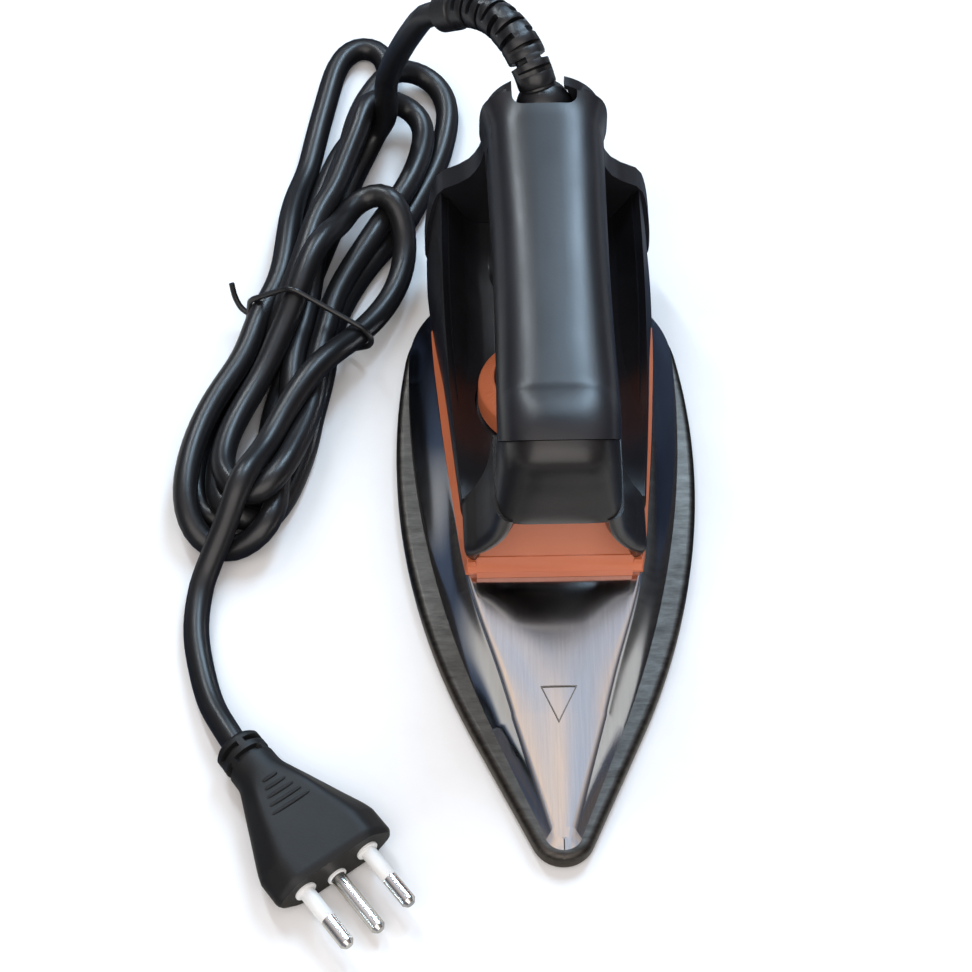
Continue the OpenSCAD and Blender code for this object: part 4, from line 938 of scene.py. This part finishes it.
bpy.ops.mesh.primitive_plane_add(size=40, location=(0, 0, -0.0002))
floor = bpy.context.object
floor.name = "floor"
m, n, l, b = material("floor_paper", (0.9, 0.9, 0.9), 0.9, spec=0.2)
v = coords(n, l)
l.new(ramp(n, l, noise(n, l, v, 40, 5), [(0.3, grey(0.88)), (0.7, grey(0.92))]), b.inputs["Base Color"])
floor.data.materials.append(m)

world = bpy.data.worlds.new("studio")
scene.world = world
world.use_nodes = True


def light_sky(nodes, links, background):
    """Grey sky, palest overhead, with faint blue and warm clouds and one dark patch of ceiling.

    The polished cover shows the patch in front of the trim."""
    def vector_math(operation):
        node = nodes.new("ShaderNodeVectorMath")
        node.operation = operation
        return node

    def colours(stops):
        node = nodes.new("ShaderNodeValToRGB")
        first, last = node.color_ramp.elements
        first.position, last.position = stops[0][0], stops[-1][0]
        first.color, last.color = (*stops[0][1], 1), (*stops[-1][1], 1)
        for at, colour in stops[1:-1]:
            node.color_ramp.elements.new(at).color = (*colour, 1)
        return node

    where = nodes.new("ShaderNodeTexCoord").outputs["Generated"]
    split = nodes.new("ShaderNodeSeparateXYZ")
    links.new(where, split.inputs["Vector"])
    sky = colours([(0.35, (0.10, 0.10, 0.11)), (0.5, (0.16, 0.16, 0.17)), (0.7, (0.30, 0.30, 0.32)),
                   (0.93, (0.62, 0.60, 0.60)), (1.0, (0.95, 0.86, 0.78))])
    links.new(split.outputs["Z"], sky.inputs["Fac"])

    cloud = nodes.new("ShaderNodeTexNoise")
    cloud.inputs["Scale"].default_value, cloud.inputs["Detail"].default_value = 4.5, 2.0
    links.new(where, cloud.inputs["Vector"])
    tone = colours([(0.40, (0.62, 0.76, 1.0)), (0.58, (1.15, 0.98, 0.84))])
    links.new(cloud.outputs["Fac"], tone.inputs["Fac"])
    tint = vector_math("MULTIPLY")
    links.new(sky.outputs["Color"], tint.inputs[0])
    links.new(tone.outputs["Color"], tint.inputs[1])

    tilt = math.radians(23)  # of the middle of the dark patch from overhead
    to_patch = vector_math("DOT_PRODUCT")
    to_patch.inputs[1].default_value = (0.03, math.sin(tilt), math.cos(tilt))
    links.new(where, to_patch.inputs[0])
    patch = nodes.new("ShaderNodeMapRange")
    patch.inputs["From Min"].default_value = math.cos(math.radians(17))
    patch.inputs["From Max"].default_value = math.cos(math.radians(15))
    patch.inputs["To Min"].default_value, patch.inputs["To Max"].default_value = 1.0, 0.03
    links.new(to_patch.outputs["Value"], patch.inputs["Value"])
    dim = vector_math("SCALE")
    links.new(tint.outputs["Vector"], dim.inputs[0])
    links.new(patch.outputs["Result"], dim.inputs["Scale"])
    links.new(dim.outputs["Vector"], background.inputs["Color"])
    background.inputs["Strength"].default_value = 1.15


light_sky(world.node_tree.nodes, world.node_tree.links, world.node_tree.nodes["Background"])

# area lights: name, place, aim, size, power, colour
LIGHTS = [("window_left", (-0.46, 1.00, 1.25), (0, 0.03, 0.06), (0.12, 1.0), 9, (0.85, 0.94, 1.0)),
          ("window_right", (0.38, 0.95, 1.20), (0, 0.03, 0.06), (0.26, 1.0), 13, (0.56, 0.78, 1.0)),
          ("front_fill", (-0.2, -1.5, 1.6), (0, 0, 0.03), (3.0, 2.2), 42, (1.0, 0.95, 0.90)),
          ("window_back", (0.85, 1.5, 1.9), (0, 0.03, 0.06), (0.9, 0.9), 10, (0.66, 0.84, 1.0))]
for name, at, aim, size, watts, colour in LIGHTS:
    light = bpy.data.lights.new(name, "AREA")
    light.shape, light.size, light.size_y, light.energy, light.color = "RECTANGLE", *size, watts, colour
    ob = bpy.data.objects.new(name, light)
    scene.collection.objects.link(ob)
    turn = (Vector(aim) - Vector(at)).to_track_quat("-Z", "Y").to_matrix().to_4x4()
    ob.matrix_world = Matrix.Translation(at) @ turn

# dark card on the floor that only gloss sees, as the dark table under the real one
bpy.ops.mesh.primitive_circle_add(vertices=64, radius=0.7, fill_type="NGON", location=(0, 0, 0.0001))
card = bpy.context.object
card.name = "dark_card"
m, n, l, b = material("card_felt", (0.03, 0.03, 0.04), 0.9, spec=0.1)
l.new(ramp(n, l, noise(n, l, coords(n, l), 5, 2),
           [(0.40, (0.012, 0.016, 0.03)), (0.50, (0.06, 0.08, 0.12)), (0.57, (0.60, 0.57, 0.52))]),
      b.inputs["Base Color"])
card.data.materials.append(m)
card.visible_camera = card.visible_diffuse = card.visible_shadow = False
scene.view_settings.view_transform = "Standard"

bpy.context.view_layer.update()
